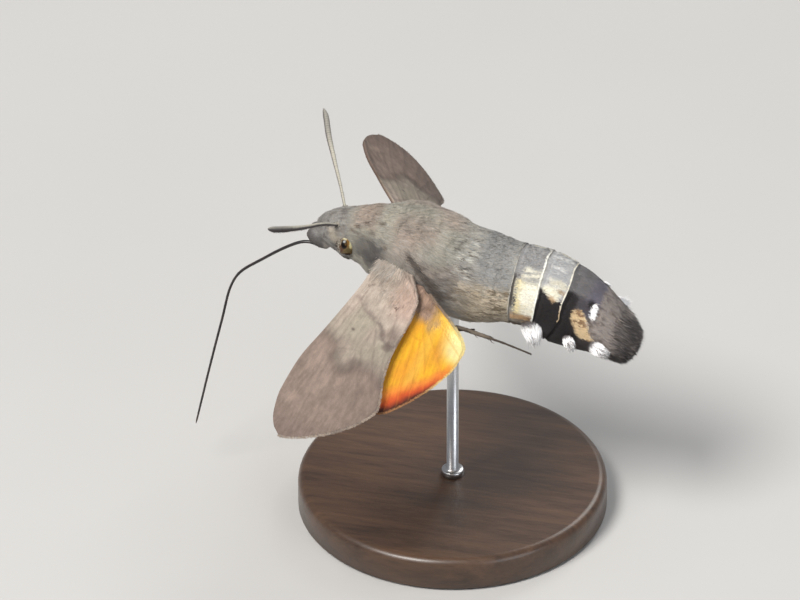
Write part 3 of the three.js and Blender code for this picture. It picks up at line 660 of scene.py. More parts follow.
def tinted(name, noise_scale=5000.0, contrast=0.12, rough=(0.6, 0.8), specular=0.25, sheen=0.0, bump=0.0,
           bump_distance=0.00002, stretch=(1, 1, 1), sheen_tint=None, cells=False, coat=0.0):
    """A material that takes the Tint of the mesh, with fine mottling, uneven roughness and a bump."""
    m, nt, b = new_material(name)
    att = node(nt, "ShaderNodeAttribute", attribute_name="Tint")
    co = node(nt, "ShaderNodeTexCoord")
    mp = node(nt, "ShaderNodeMapping")
    mp.inputs["Scale"].default_value = stretch
    nt.links.new(co.outputs["Object"], mp.inputs[0])
    tex = node(nt, "ShaderNodeTexNoise", Scale=noise_scale, Detail=3.0, Roughness=0.6)
    nt.links.new(mp.outputs[0], tex.inputs["Vector"])
    ramp = node(nt, "ShaderNodeMapRange")
    ramp.inputs["From Min"].default_value = 0.25
    ramp.inputs["From Max"].default_value = 0.75
    ramp.inputs["To Min"].default_value = 1.0 - contrast
    ramp.inputs["To Max"].default_value = 1.0 + contrast
    nt.links.new(tex.outputs[0], ramp.inputs[0])
    mul = node(nt, "ShaderNodeVectorMath", operation="SCALE")
    nt.links.new(att.outputs["Color"], mul.inputs[0])
    nt.links.new(ramp.outputs[0], mul.inputs["Scale"])
    nt.links.new(mul.outputs[0], b.inputs["Base Color"])
    rr = node(nt, "ShaderNodeMapRange")
    rr.inputs["From Min"].default_value = 0.2
    rr.inputs["From Max"].default_value = 0.8
    rr.inputs["To Min"].default_value = rough[0]
    rr.inputs["To Max"].default_value = rough[1]
    nt.links.new(tex.outputs[0], rr.inputs[0])
    nt.links.new(rr.outputs[0], b.inputs["Roughness"])
    b.inputs["Specular IOR Level"].default_value = specular
    if sheen:
        b.inputs["Sheen Weight"].default_value = sheen
        b.inputs["Sheen Roughness"].default_value = 0.5
        if sheen_tint:
            b.inputs["Sheen Tint"].default_value = sheen_tint
    if coat:
        b.inputs["Coat Weight"].default_value = coat
        b.inputs["Coat Roughness"].default_value = 0.08
    if bump:
        src = tex
        if cells:
            src = node(nt, "ShaderNodeTexVoronoi", Scale=noise_scale)
            nt.links.new(mp.outputs[0], src.inputs["Vector"])
        bp = node(nt, "ShaderNodeBump", Strength=bump, Distance=bump_distance)
        nt.links.new(src.outputs[0], bp.inputs["Height"])
        nt.links.new(bp.outputs[0], b.inputs["Normal"])
    return m


SKIN_MAT = tinted("skin", noise_scale=9000, contrast=0.2, rough=(0.75, 0.9), specular=0.15, bump=0.6, bump_distance=0.00003, stretch=(0.35, 1, 1))
COAT_MAT = tinted("coat", noise_scale=16000, contrast=0.1, rough=(0.55, 0.8), specular=0.25, sheen=0.1)
WHITE_MAT = tinted("white_tufts", noise_scale=12000, contrast=0.05, rough=(0.5, 0.7), specular=0.3, sheen=0.1)
FOREWING_MAT = tinted("forewing", noise_scale=11000, contrast=0.13, rough=(0.6, 0.85), specular=0.2, bump=0.35, bump_distance=0.00002, stretch=(1, 0.5, 1), cells=True)
HINDWING_MAT = tinted("hindwing", noise_scale=11000, contrast=0.09, rough=(0.6, 0.85), specular=0.2, bump=0.3, bump_distance=0.00002, stretch=(1, 0.5, 1), cells=True)
EYE_MAT = tinted("eye", noise_scale=26000, contrast=0.08, rough=(0.14, 0.24), specular=0.25, bump=0.15, bump_distance=0.000005, cells=True)
FEELER_MAT = tinted("feeler", noise_scale=14000, contrast=0.14, rough=(0.5, 0.75), specular=0.3, bump=0.3, bump_distance=0.00001)
TONGUE_MAT = tinted("tongue", noise_scale=15000, contrast=0.25, rough=(0.25, 0.45), specular=0.5, bump=0.3, bump_distance=0.000008)
LEG_MAT = tinted("leg", noise_scale=14000, contrast=0.15, rough=(0.55, 0.8), specular=0.25, bump=0.3, bump_distance=0.00001)


# ---------------------------------------------------------------- the skin
def grid_surface(point, t, th):
    """Closed loft over t by th, with both ends capped."""
    T, H = np.meshgrid(t, th, indexing="ij")
    P = point(T, H)
    n, m = P.shape[:2]
    idx = np.arange(n * m).reshape(n, m)
    nxt = np.roll(idx, -1, axis=1)
    quads = np.stack([idx[:-1], nxt[:-1], nxt[1:], idx[1:]], -1).reshape(-1, 4)
    verts = np.vstack([P.reshape(-1, 3), P[0].mean(0), P[-1].mean(0)])
    a, b = n * m, n * m + 1
    caps = np.concatenate([np.stack([np.full(m, a), nxt[0], idx[0]], -1), np.stack([np.full(m, b), idx[-1], nxt[-1]], -1)])
    return verts, quads, caps


def tuft_axes(t, side):
    """Middle and the three directions of a side tuft."""
    d, o = math.radians(t["down"]), math.radians(t["out"]) * side
    back = Matrix.Rotation(o, 3, "Z") @ Matrix.Rotation(d, 3, "Y")
    m = np.array(back)
    return np.array([t["at"][0], t["at"][1] * side, t["at"][2]]), m


def ellipsoid(mid, axes, size, n=24, m=32):
    a = np.linspace(0.02, np.pi - 0.02, n)
    b = np.arange(m) * 2 * np.pi / m
    A, B = np.meshgrid(a, b, indexing="ij")
    unit_p = np.stack([np.cos(A), np.sin(A) * np.cos(B), np.sin(A) * np.sin(B)], -1)
    P = mid + (unit_p * np.asarray(size)) @ axes.T
    idx = np.arange(n * m).reshape(n, m)
    nxt = np.roll(idx, -1, axis=1)
    quads = np.stack([idx[:-1], nxt[:-1], nxt[1:], idx[1:]], -1).reshape(-1, 4)
    verts = np.vstack([P.reshape(-1, 3), P[0].mean(0), P[-1].mean(0)])
    p, q = n * m, n * m + 1
    caps = np.concatenate([np.stack([np.full(m, p), nxt[0], idx[0]], -1), np.stack([np.full(m, q), idx[-1], nxt[-1]], -1)])
    return verts, quads, caps


def palp_tube(side):
    return Tube([[x, y * side, z] for x, y, z in PALP_PATH], 60)


def palp_radius(values):
    u = np.linspace(0, 1, len(values))
    # the solids' own half sizes, spaced by the steps of the path
    path = np.array(PALP_PATH)
    s = np.concatenate([[0], np.cumsum(np.linalg.norm(np.diff(path, axis=0), axis=1))])
    return lambda v: np.interp(v, s / s[-1], values)


palp_w, palp_h = palp_radius(PALP_HALF_WIDTH), palp_radius(PALP_HALF_HEIGHT)
PALP_COAT = 0.1


def round_ends(s, a=0.05, b=0.12):
    return np.sqrt(np.clip(1 - np.clip((a - s) / a, 0, 1) ** 2, 0, 1)) * np.sqrt(np.clip(1 - np.clip((s - 1 + b) / b, 0, 1) ** 2 * 0.96, 0, 1))


def flesh_colour(P):
    """Colour of any point of skin, from its place on the body, the palps or the tufts."""
    t, th = body_coords(P)
    c = markings(t, th, P)
    front = smooth(-7.05, -7.45, P[:, 0])
    c = mix(c, palp_colour(P), front)
    for tu in TUFTS:
        for side in (-1, 1):
            mid, axes = tuft_axes(tu, side)
            q = (P - mid) @ axes / np.asarray(tu["size"])
            r = np.linalg.norm(q, axis=1)
            c = mix(c, rgb(246, 246, 246), (1 - smooth(0.82, 1.0, r)) * smooth(-0.75, -0.4, q[:, 0]))
    return c, t, th


def palp_colour(P):
    """Lighter grey on the upper middle, darker below and at the tip."""
    x, z = P[:, 0], P[:, 2]
    c = np.broadcast_to(rgb(106, 103, 101), (len(P), 3))
    c = mix(c, rgb(156, 153, 150), band(x, -8.2, -7.2, 0.3) * smooth(0.4, 1.1, z) * 0.8)
    c = mix(c, rgb(92, 88, 87), smooth(-8.15, -8.7, x) * 0.55)
    c = mix(c, rgb(86, 82, 81), smooth(0.5, -0.3, z) * 0.75)
    c = mix(c, rgb(176, 168, 156), smooth(-7.4, -6.9, x) * 0.6)
    return gain(mix(c, rgb(104, 99, 96), smooth(0.2, 0.8, noise(P, 0.3, 12)) * 0.3), COAT_GAIN)


def make_skin():
    parts = []
    t = np.concatenate([np.linspace(-7.72, -6, 26), np.linspace(-5.95, SKIN_END, 300)])
    th = np.arange(120) * 2 * np.pi / 120
    parts.append(grid_surface(skin_point, t, th))
    # rounded end of the tail and front of the face
    for x, w, h in ((SKIN_END, None, None), (-7.72, None, None)):
        mid, tan, up = (v[0] for v in section(np.array([x])))
        inset = coat_depth(x)
        axes = np.stack([tan, np.array([0.0, 1, 0]), up], 1)
        parts.append(ellipsoid(mid, axes, (0.35, body_w(x) - inset, (body_up(x) + body_down(x)) / 2 - inset), 14, 40))
    for side in (-1, 1):
        tube = palp_tube(side)
        v, q, c, *_ = tube_mesh(tube, lambda s: (palp_w(s) - PALP_COAT) * round_ends(s), lambda s: (palp_h(s) - PALP_COAT) * round_ends(s), 40, 32, 0, 0.97)
        parts.append((v, q, c))
        for tu in TUFTS:
            mid, axes = tuft_axes(tu, side)
            parts.append(ellipsoid(mid - axes[:, 0] * tu["size"][0] * 0.3, axes, np.array(tu["size"]) * (0.55, 0.5, 0.5)))
    V, Q, T, n = [], [], [], 0
    for v, q, c in parts:
        V.append(v)
        Q.append(q + n)
        T.append(c + n)
        n += len(v)
    V, Q, T = np.vstack(V), np.vstack(Q), np.vstack(T)
    me = bpy.data.meshes.new("skin_parts")
    me.from_pydata(V.tolist(), [], Q.tolist() + T.tolist())
    raw = bpy.data.objects.new("skin_parts", me)
    bpy.context.scene.collection.objects.link(raw)
    mod = raw.modifiers.new("one", "REMESH")
    mod.mode = "VOXEL"
    mod.voxel_size = 0.14
    dg = bpy.context.evaluated_depsgraph_get()
    one = bpy.data.meshes.new_from_object(raw.evaluated_get(dg))
    bpy.data.objects.remove(raw)
    co = np.zeros(len(one.vertices) * 3)
    one.vertices.foreach_get("co", co)
    co = co.reshape(-1, 3)
    nq = len(one.polygons)
    loops = np.zeros(len(one.loops), np.int32)
    one.loops.foreach_get("vertex_index", loops)
    tot = np.zeros(nq, np.int32)
    one.polygons.foreach_get("loop_total", tot)
    assert (tot == 4).all()
    quads = loops.reshape(-1, 4)
    edges = np.zeros(len(one.edges) * 2, np.int32)
    one.edges.foreach_get("vertices", edges)
    edges = edges.reshape(-1, 2)
    # a light relaxation takes the voxel steps out
    for _ in range(3):
        s = np.zeros_like(co)
        k = np.zeros(len(co))
        for a, b in ((0, 1), (1, 0)):
            np.add.at(s, edges[:, a], co[edges[:, b]])
            np.add.at(k, edges[:, a], 1)
        co = co * 0.5 + 0.5 * s / k[:, None]
    bpy.data.meshes.remove(one)
    c, t, th = flesh_colour(co)
    o = build_mesh("skin", co, None, c * 0.9, None, True, quads)
    layer = o.data.uv_layers.new(name="OFBake")
    # the body's own unwrap is section by angle; the palps and the tufts take islands of their own beside it
    corner, centre = co[quads], co[quads].mean(1)
    tc, hc = body_coords(centre)

    def turned(angle, middle):
        return middle[:, None] + (angle - middle[:, None] + np.pi) % (2 * np.pi) - np.pi
    per = np.stack([0.02 + 0.95 * (t[quads] - BODY[0, 0]) / (BODY[-1, 0] - BODY[0, 0]),
                    0.04 + 0.8 * (turned(th[quads], hc) + np.pi) / (2 * np.pi)], -1)
    for i, side in enumerate((-1, 1)):
        pick = (centre[:, 0] < -7.3) & (np.sign(centre[:, 1]) == side)
        rel = corner[pick] - (0, 0.55 * side, 0.3)
        mid = centre[pick] - (0, 0.55 * side, 0.3)
        around = turned(np.arctan2(rel[..., 1], rel[..., 2]), np.arctan2(mid[:, 1], mid[:, 2]))
        along_it = (-rel[..., 0] - 7.0 - 0.3 * np.hypot(rel[..., 1], rel[..., 2])) / 1.8
        per[pick] = np.stack([0.03 + 0.2 * i + 0.17 * np.clip(along_it, 0, 1), 0.9 + 0.08 * (around + np.pi) / (2 * np.pi)], -1)
    mid_c, _, up_c = section(tc)
    far = np.hypot(centre[:, 1] / (body_w(tc) - coat_depth(tc)),
                   ((centre - mid_c) * up_c).sum(-1) / (np.where(np.abs(hc) < np.pi / 2, body_up(tc), body_down(tc)) - coat_depth(tc)))
    for i, tu in enumerate(TUFTS):
        for j, side in enumerate((-1, 1)):
            mid, axes = tuft_axes(tu, side)
            size = np.array(tu["size"])
            q, qc = (corner - mid) @ axes / size, (centre - mid) @ axes / size
            pick = (np.linalg.norm(qc, axis=1) < 1.05) & (far > 1.04)
            around = turned(np.arctan2(q[pick][..., 1], q[pick][..., 2]), np.arctan2(qc[pick][:, 1], qc[pick][:, 2]))
            share = (q[pick][..., 0] - 0.4 * np.hypot(q[pick][..., 1], q[pick][..., 2]) + 1.4) / 2.6
            per[pick] = np.stack([0.44 + 0.09 * (2 * i + j) + 0.075 * np.clip(share, 0, 1), 0.9 + 0.08 * (around + np.pi) / (2 * np.pi)], -1)
    layer.data.foreach_set("uv", np.clip(per, 0.001, 0.999).astype(np.float32).ravel())
    finish_piece(o, SKIN_MAT, "coat", "head", "thorax", "abdomen_front", "abdomen_mid", "abdomen_rear", "tail_fan", "palp_left", "palp_right")
    return o


# ---------------------------------------------------------------- the coat
def scatter_body(t0, t1, spacing, rng):
    """Even but jittered places on the skin between two sections; spacing is a number or a function of the section."""
    ts, hs = [], []
    t = t0
    while t < t1:
        gap = float(spacing(t) if callable(spacing) else spacing) / math.sqrt(DENSITY)
        f = np.linspace(0, 2 * np.pi, 49)
        ring = skin_point(np.full(49, t), f)
        seg = np.linalg.norm(np.diff(ring, axis=0), axis=1)
        s = np.concatenate([[0], np.cumsum(seg)])
        n = max(6, int(s[-1] / gap))
        at = (np.arange(n) + rng.random()) % n + rng.uniform(-0.45, 0.45, n)
        hs.append(np.interp((at / n % 1) * s[-1], s, f))
        ts.append(t + rng.uniform(-0.5, 0.5, n) * gap)
        step = np.linalg.norm(skin_point(np.array([t + 0.05]), np.array([0.0])) - skin_point(np.array([t - 0.05]), np.array([0.0]))) / 0.1
        t += gap / max(step, 0.6)
    t, th = np.concatenate(ts), np.concatenate(hs)
    th = np.where(th > np.pi, th - 2 * np.pi, th)
    return np.clip(t, BODY[0, 0] + 0.01, SKIN_END), th


EYES = np.array([[EYE_AT[0], -EYE_AT[1], EYE_AT[2]], [EYE_AT[0], EYE_AT[1], EYE_AT[2]]])


def clear_of_eyes(P, margin=0.03):
    keep = np.ones(len(P), bool)
    for e in EYES:
        keep &= np.linalg.norm(P - e, axis=1) > EYE_R + margin
    return keep


def body_lie(t, th, P, n, a):
    """Direction of the coat: to the tail, round the eyes, down the flanks behind the wing roots, with slow swirls."""
    side = np.cross(n, a)
    k = np.degrees(np.abs(th))
    swirl = 0.16 * noise(P, 2.2, 21) + 0.07 * noise(P, 0.7, 22)
    swirl = swirl * (1 - 0.6 * smooth(7, 9, t))
    down = np.sign(th) * (0.25 * band(t, -3.5, 3.0, 1.5) * band(k, 35, 100, 25))
    d = a + side * (swirl + down * np.sign((side * np.stack([np.zeros_like(t), np.sign(th), -np.ones_like(t) * 0.4], -1)).sum(-1)) * np.sign(th))[:, None]
    for e in EYES:
        away = P - e
        away = away - n * (away * n).sum(-1, keepdims=True)
        r = np.linalg.norm(away, axis=1)
        w = (1 - smooth(0.8, 1.5, r))[:, None]
        d = d * (1 - 0.65 * w) + unit(away) * 0.65 * w
    return unit(d - n * (d * n).sum(-1, keepdims=True))


def body_uv(t, th, t0, t1):
    return np.stack([0.01 + 0.98 * np.clip((t - t0) / (t1 - t0), 0, 1), 0.01 + 0.98 * (th + np.pi) / (2 * np.pi)], -1)


def region_coat(name, t0, t1, spacing, rng, fine, settings, **more):
    t, th = scatter_body(t0, t1, spacing, rng)
    P, n, a = surface_frame(skin_point, t, th)
    ok = clear_of_eyes(P)
    t, th, P, n, a = t[ok], th[ok], P[ok], n[ok], a[ok]
    length, width, lift, blunt = settings(t, np.degrees(np.abs(th)), P)
    d = body_lie(t, th, P, n, a)
    # the colour is the one where most of the lock shows, a little behind its root
    ahead = 0.4 * length
    c = markings(t + ahead, th, P + d * ahead[:, None])
    coat = Coat()
    order = np.argsort(t, kind="stable")
    coat.add(P[order], n[order], d[order], length[order], width[order], lift[order], c[order],
             body_uv(t, th, t0, t1)[order], rng, fine=fine, blunt=blunt, **more)
    return coat.write(name, COAT_MAT, "coat")


def along(rows):
    f = [through(rows, k) for k in range(1, len(rows[0]))]
    return lambda t: [g(t) for g in f]


# length, width, lift and spacing of the coat along the body
FINE = along([
    [-7.75, 0.22, 0.045, 13, 0.05], [-6.4, 0.3, 0.05, 15, 0.05], [-5.2, 0.46, 0.055, 18, 0.052], [-4, 0.66, 0.06, 21, 0.056],
    [-2.5, 0.85, 0.064, 22, 0.061], [0, 0.98, 0.068, 22, 0.064], [4, 0.95, 0.07, 20, 0.065], [6, 0.8, 0.07, 17, 0.066],
    [8, 0.6, 0.075, 12, 0.09], [11, 0.5, 0.08, 10, 0.1], [15, 0.55, 0.08, 10, 0.1], [17, 0.8, 0.085, 10, 0.1], [19.75, 0.8, 0.09, 9, 0.1],
])


def tail_end(y):
    """Section at which the tail's brush ends, rounded towards the sides."""
    return 19.72 - 0.4 * np.minimum(np.abs(y) / 2.1, 1.2) ** 3


def fine_settings(t, a, P):
    length, width, lift, _ = FINE(t)
    flank = band(a, 70, 140, 14) * band(t, 4.5, 9.5, 0.7)
    length = length * (1 + 0.25 * flank)
    lift = lift + 4 * flank
    bar = inside(t, a, WHITE_BAR, 0.05, 15.5)
    lift = lift + 10 * bar
    crest = band(t, -5.6, -3.2, 0.9) * (1 - smooth(55, 85, a))
    length, lift = length * (1 + 0.25 * crest), lift + 12 * crest
    clump = 1 + 0.16 * noise(P, 0.45, 31)
    # near the tail's end no lock passes the rounded outline
    room = np.maximum((tail_end(P[:, 1]) - 0.4 - t) * 1.1, 0.12)
    return to_segment_end(t, a, np.minimum(length * clump, room)), width, lift * (1 + 0.2 * noise(P, 0.35, 32)), 0.0


def to_segment_end(t, a, length):
    """Locks of the abdomen stop at the rear edge of their segment."""
    for i in (1, 2, 3):
        room = ring_at(i, np.radians(a)) + 0.02 - t
        length = np.where((room > 0) & (room < length), np.maximum(room, 0.1), length)
    return length


def scale_settings(t, a, P):
    length, width, lift, _ = FINE(t)
    return to_segment_end(t, a, length * 0.85), width * 1.3, lift * 0.6, 0.5


def make_coats():
    rng = np.random.default_rng(71)
    region_coat("coat_front", -7.72, 6.2, lambda t: FINE(t)[3], rng, True, fine_settings)
    region_coat("coat_abdomen", 5.9, 17.2, 0.064, rng, False, scale_settings, shade=0.03, dark=0.93, thick=0.25)
    region_coat("coat_abdomen_hair", 6.2, 17.0, 0.1, rng, True, fine_settings, shade=0.03, dark=0.95)
    region_coat("coat_tail", 16.6, SKIN_END, 0.085, rng, True, fine_settings, shade=0.06)

    # pale fringes on the rear edges of three segments: short scales lying flat, all ending on one line
    coat = Coat()
    for k, (deg, line) in enumerate(RING_LINES):
        n = int((1500, 2600, 2200)[k] * max(DENSITY, 0.6))
        reach = (104, 112, 86)[k]
        a = rng.uniform(0, reach, n)
        if k == 0:
            a = rng.uniform(8, reach, n)
        th = np.radians(a) * rng.choice([-1, 1], n)
        wide = (0.07, 0.15, 0.12)[k] * (1 - 0.45 * smooth(60, 84, a) * (k == 2))
        end = np.interp(a, deg, line) + 0.02 * noise(np.stack([a * 0.1, th, th * 0], -1), 0.5, 55)
        t = end - wide * rng.uniform(0.75, 1.1, n)
        P, nn, lie = surface_frame(skin_point, t, th)
        c = np.broadcast_to((rgb(186, 183, 175), rgb(250, 248, 238), rgb(236, 231, 216))[k], (n, 3))
        c = mix(c, (rgb(150, 146, 140), rgb(216, 212, 196), rgb(190, 172, 142))[k], smooth(0.0, 0.8, noise(P, 0.5, 56)) * (0.7, 0.5, 0.6)[k])
        if k == 2:
            c = mix(c, rgb(176, 150, 116), smooth(58, 72, a) * 0.8)
        coat.add(P + nn * 0.012, nn, lie, end - t + 0.03, 0.05, 9.0, gain(c, 0.92), body_uv(t, th, BODY[0, 0], BODY[-1, 0]), rng,
                 fine=False, blunt=0.7, spread=4, sink=0.02, thick=0.25, dark=0.95, shade=0.03)
    coat.write("coat_ring_fringes", COAT_MAT, "coat")

    # the tail's brush: long flat scales from its rear edge
    coat = Coat()
    n = int(8200 * DENSITY)
    t = 16.7 + (SKIN_END - 16.72) * rng.beta(1.9, 1.0, n)
    th = rng.uniform(-np.pi, np.pi, n)
    P, nn, a = surface_frame(skin_point, t, th)
    mid, _, up = section(t)
    depth = 1 - rng.uniform(0, 0.9, n) * smooth(18.0, 18.8, t)  # from the middle to the skin
    P = mid + (P - mid) * depth[:, None]
    out = unit(np.stack([np.ones(n), -0.04 * P[:, 1], -0.6 * np.ones(n)], -1))
    high = ((P - mid) * up).sum(-1) / np.where(np.abs(th) < np.pi / 2, body_up(t), body_down(t))
    end = tail_end(P[:, 1]) - 0.2 * np.abs(high) ** 3
    room = np.maximum(end - 0.1 * rng.random(n) - t, 0.12) / out[:, 0]
    ln = np.minimum(0.85 + 0.45 * rng.random(n), room * rng.uniform(0.7, 1.1, n))
    c = markings(np.minimum(t + 0.3 * ln, 19.6), th, P + a * (0.3 * ln)[:, None])
    c = mix(c, rgb(130, 122, 116), (rng.random(n) < 0.16) * 0.5)
    coat.add(P, nn, out, ln, 0.08, 5.0, c, body_uv(t, th, 16.4, BODY[-1, 0]), rng, spread=8, shade=0.16, wave=0.09)
    # white scales standing on the bars, with their own normals so that the far ones catch the light
    bars = Coat(soft=None, flat=True)
    n = int(420 * DENSITY)
    k = rng.random(n)
    t = 14.84 + 0.22 * k + 0.16 * rng.random(n)
    th = np.radians(30 + 22 * k) * np.sign(rng.random(n) - 0.5)
    P, nn, a = surface_frame(skin_point, t, th)
    lie = body_lie(t, th, P, nn, a)
    c = gain(mix(np.broadcast_to(rgb(250, 250, 250), P.shape), rgb(206, 202, 200), (rng.random(n) < 0.2) * 0.8), 0.95)
    far = th > 0  # these stand up more
    bars.add(P, nn, lie, np.where(far, 0.56, 0.38) + 0.22 * rng.random(n), np.where(far, 0.1, 0.07), np.where(far, 36.0, 26.0), c, body_uv(t, th, 14.0, BODY[-1, 0]), rng, spread=9, sink=0.02)
    coat.write("coat_tail_brush", COAT_MAT, "coat")
    bars.write("coat_tail_bars", COAT_MAT, "coat")

    # the palps, and the tuft of the forehead combed forward over them
    coat = Coat()
    for side in (-1, 1):
        tube = palp_tube(side)
        n = int(5000 * DENSITY)
        s = rng.beta(1.1, 1.0, n) * 0.985
        f = rng.uniform(-np.pi, np.pi, n)
        P, nn, T = tube.at(s, f, (palp_w(s) - PALP_COAT) * round_ends(s) + 1e-3, (palp_h(s) - PALP_COAT) * round_ends(s) + 1e-3)
        ln = (0.34 + 0.1 * rng.random(n)) * (1 - 0.6 * s)
        c = palp_colour(P + T * 0.15)
        uv = np.stack([0.02 + 0.3 * s + (0.34 if side > 0 else 0), 0.02 + 0.96 * (f + np.pi) / (2 * np.pi)], -1)
        coat.add(P, nn, unit(T - nn * (T * nn).sum(-1, keepdims=True)), ln, 0.05, 15 - 6 * s, c, uv, rng, spread=10)
    n = int(3400 * DENSITY)
    t = BODY[0, 0] + 0.03 + 1.35 * rng.beta(1.1, 1.1, n)
    th = rng.uniform(-1.25, 1.25, n)
    P, nn, a = surface_frame(skin_point, t, th)
    out = unit(np.stack([-np.ones(n), -0.22 * P[:, 1], -0.42 - 0.12 * rng.random(n)], -1))
    ln = (0.4 + 0.36 * smooth(-7.6, -6.9, t)) * (1 - 0.4 * smooth(0.7, 1.25, np.abs(th)))
    c = mix(markings(t, th, P), gain(rgb(140, 137, 134), COAT_GAIN), 0.5 * np.ones(n))
    c = c * (1 + 0.07 * noise(P, (0.5, 0.12, 0.12), 44)[:, None])
    uv = np.stack([0.7 + 0.28 * (t - BODY[0, 0]) / 1.4, 0.02 + 0.96 * (th + 1.3) / 2.6], -1)
    coat.add(P, nn, out, ln, 0.055, 0.0, c, uv, rng, spread=6, wave=0.08, sink=0.08, face=unit(nn + np.array([-0.2, 0, 0.3])))
    coat.write("coat_face", COAT_MAT, "coat")

    # scales that close round the eye and leave an upright oval of it open
    coat = Coat()
    for side in (-1, 1):
        axis, back, high = eye_axes(side)
        n = int(2600 * max(DENSITY, 0.6))
        u, v = rng.uniform(-1, 1, n), rng.uniform(-1, 1, n)
        keep = (u * u + v * v < 0.97) & (eye_opening(u, v) > 1.02)
        u, v = u[keep], v[keep]
        nn = unit(u[:, None] * back + v[:, None] * high + np.sqrt(1 - u * u - v * v)[:, None] * axis)
        P = eye_middle(side) + nn * EYE_R
        # lies to the rear, in front of the eye as well as behind it, bending round it above and below
        lie = back + high * (0.8 * np.sign(v) * smooth(0.2, 0.7, np.abs(v)) * smooth(0.5, -0.3, u))[:, None]
        lie = unit(lie - nn * (lie * nn).sum(-1, keepdims=True))
        ln = np.clip(0.12 + 0.22 * smooth(1.05, 1.6, eye_opening(u, v)), 0.1, 0.3)
        c = mix(np.broadcast_to(rgb(198, 188, 172), nn.shape), rgb(132, 125, 119), smooth(-0.35, 0.15, u + 0.25 * noise(P, 0.2, 45)))
        c = mix(c, rgb(150, 136, 120), smooth(0.35, 0.7, v) * 0.7)
        c = mix(c, rgb(70, 54, 46), smooth(-0.72, -0.9, v) * smooth(-0.8, -0.3, u) * 0.8)
        c = mix(c, rgb(120, 100, 84), smooth(0.3, 0.8, noise(P, 0.16, 46)) * 0.4)
        uv = np.stack([0.25 + 0.5 * (side > 0) + 0.22 * u, 0.5 + 0.45 * v], -1)
        coat.add(P, nn, lie, ln, 0.045, 9.0, gain(c, 0.85), uv, rng, fine=False, blunt=0.2, spread=9, sink=0.015)
    coat.write("coat_eyelids", COAT_MAT, "coat")

    # side tufts: pointed brushes of long white scales
    coat = Coat(soft=0.65)
    far = Coat(soft=None, flat=True)  # the other side's, seen against the light
    for i, tu in enumerate(TUFTS):
        for side in (-1, 1):
            mid, axes = tuft_axes(tu, side)
            size = np.array(tu["size"])
            n = int(tu["count"] * DENSITY)
            x = -0.95 + 0.85 * rng.beta(1.1, 1.2, n)
            f = rng.uniform(0, 2 * np.pi, n)
            r = np.sqrt(rng.uniform(0.02, 1.0, n)) * np.sqrt(np.clip(1 - (x + 0.25) ** 2, 0, 1)) * 1.08
            q = np.stack([x, r * np.cos(f), r * np.sin(f)], -1)
            P = mid + (q * size) @ axes.T
            # the outer scales end sooner, so that the brush comes to a point
            reach = 1.08 - 0.85 * r ** 1.4 * rng.uniform(0.35, 1.0, n) - 0.3 * rng.random(n)
            goal = mid + (np.stack([reach, q[:, 1] * 0.62, q[:, 2] * 0.62], -1) * size) @ axes.T
            d = unit(goal - P)
            nn = unit((q * (0, 1, 1)) @ axes.T + 1e-6)
            nn = unit(nn - d * (nn * d).sum(-1, keepdims=True))
            ln = np.linalg.norm(goal - P, axis=1)
            c = mix(np.broadcast_to(rgb(252, 252, 252), (n, 3)), rgb(196, 192, 194), (rng.random(n) < 0.2) * 0.5)
            dark_part = smooth(-0.55, -0.85, x) if i != 1 else smooth(-0.45, -0.8, x)
            # the far side's tufts keep little of their dark base, a painted light so that they stay white in the shade
            # they stand in
            c = mix(c, rgb(66, 60, 60), dark_part * (0.85 if side < 0 else 0.15))
            uv = np.stack([0.02 + 0.13 * (x + 0.95) / 0.85 + 0.16 * (2 * i + (side > 0)), 0.02 + 0.96 * f / (2 * np.pi)], -1)
            (coat if side < 0 else far).add(P, nn, d, ln, 0.085, 0.0, c, uv, rng, spread=7, dark=0.92, wave=0.06, sink=0.0, shade=0.05,
                     face=unit(nn * 0.5 + np.array([-0.15, -0.75 if side < 0 else 0.1, 0.9])))
    coat.write("coat_side_tufts", WHITE_MAT, "coat")
    far.write("coat_far_tufts", WHITE_MAT, "coat")


# ---------------------------------------------------------------- eyes
def eye_middle(side):
    return np.array([EYE_AT[0], EYE_AT[1] * side, EYE_AT[2]])


def eye_axes(side):
    """The way the eye looks, and across it the ways to the rear and up."""
    axis = unit(np.array([0.2006, 0.8044 * side, 0.5592]))
    back = unit(np.array([0.9703, -0.2419 * side, 0.0]))
    return axis, back, unit(np.array([-0.1353, -0.5426 * side, 0.8290]))


def eye_opening(u, v):
    """Under 1 in the part of the eye that the scales leave open."""
    return np.hypot((u + 0.05) / (0.56 - 0.06 * v), (v + 0.2) / 0.84)


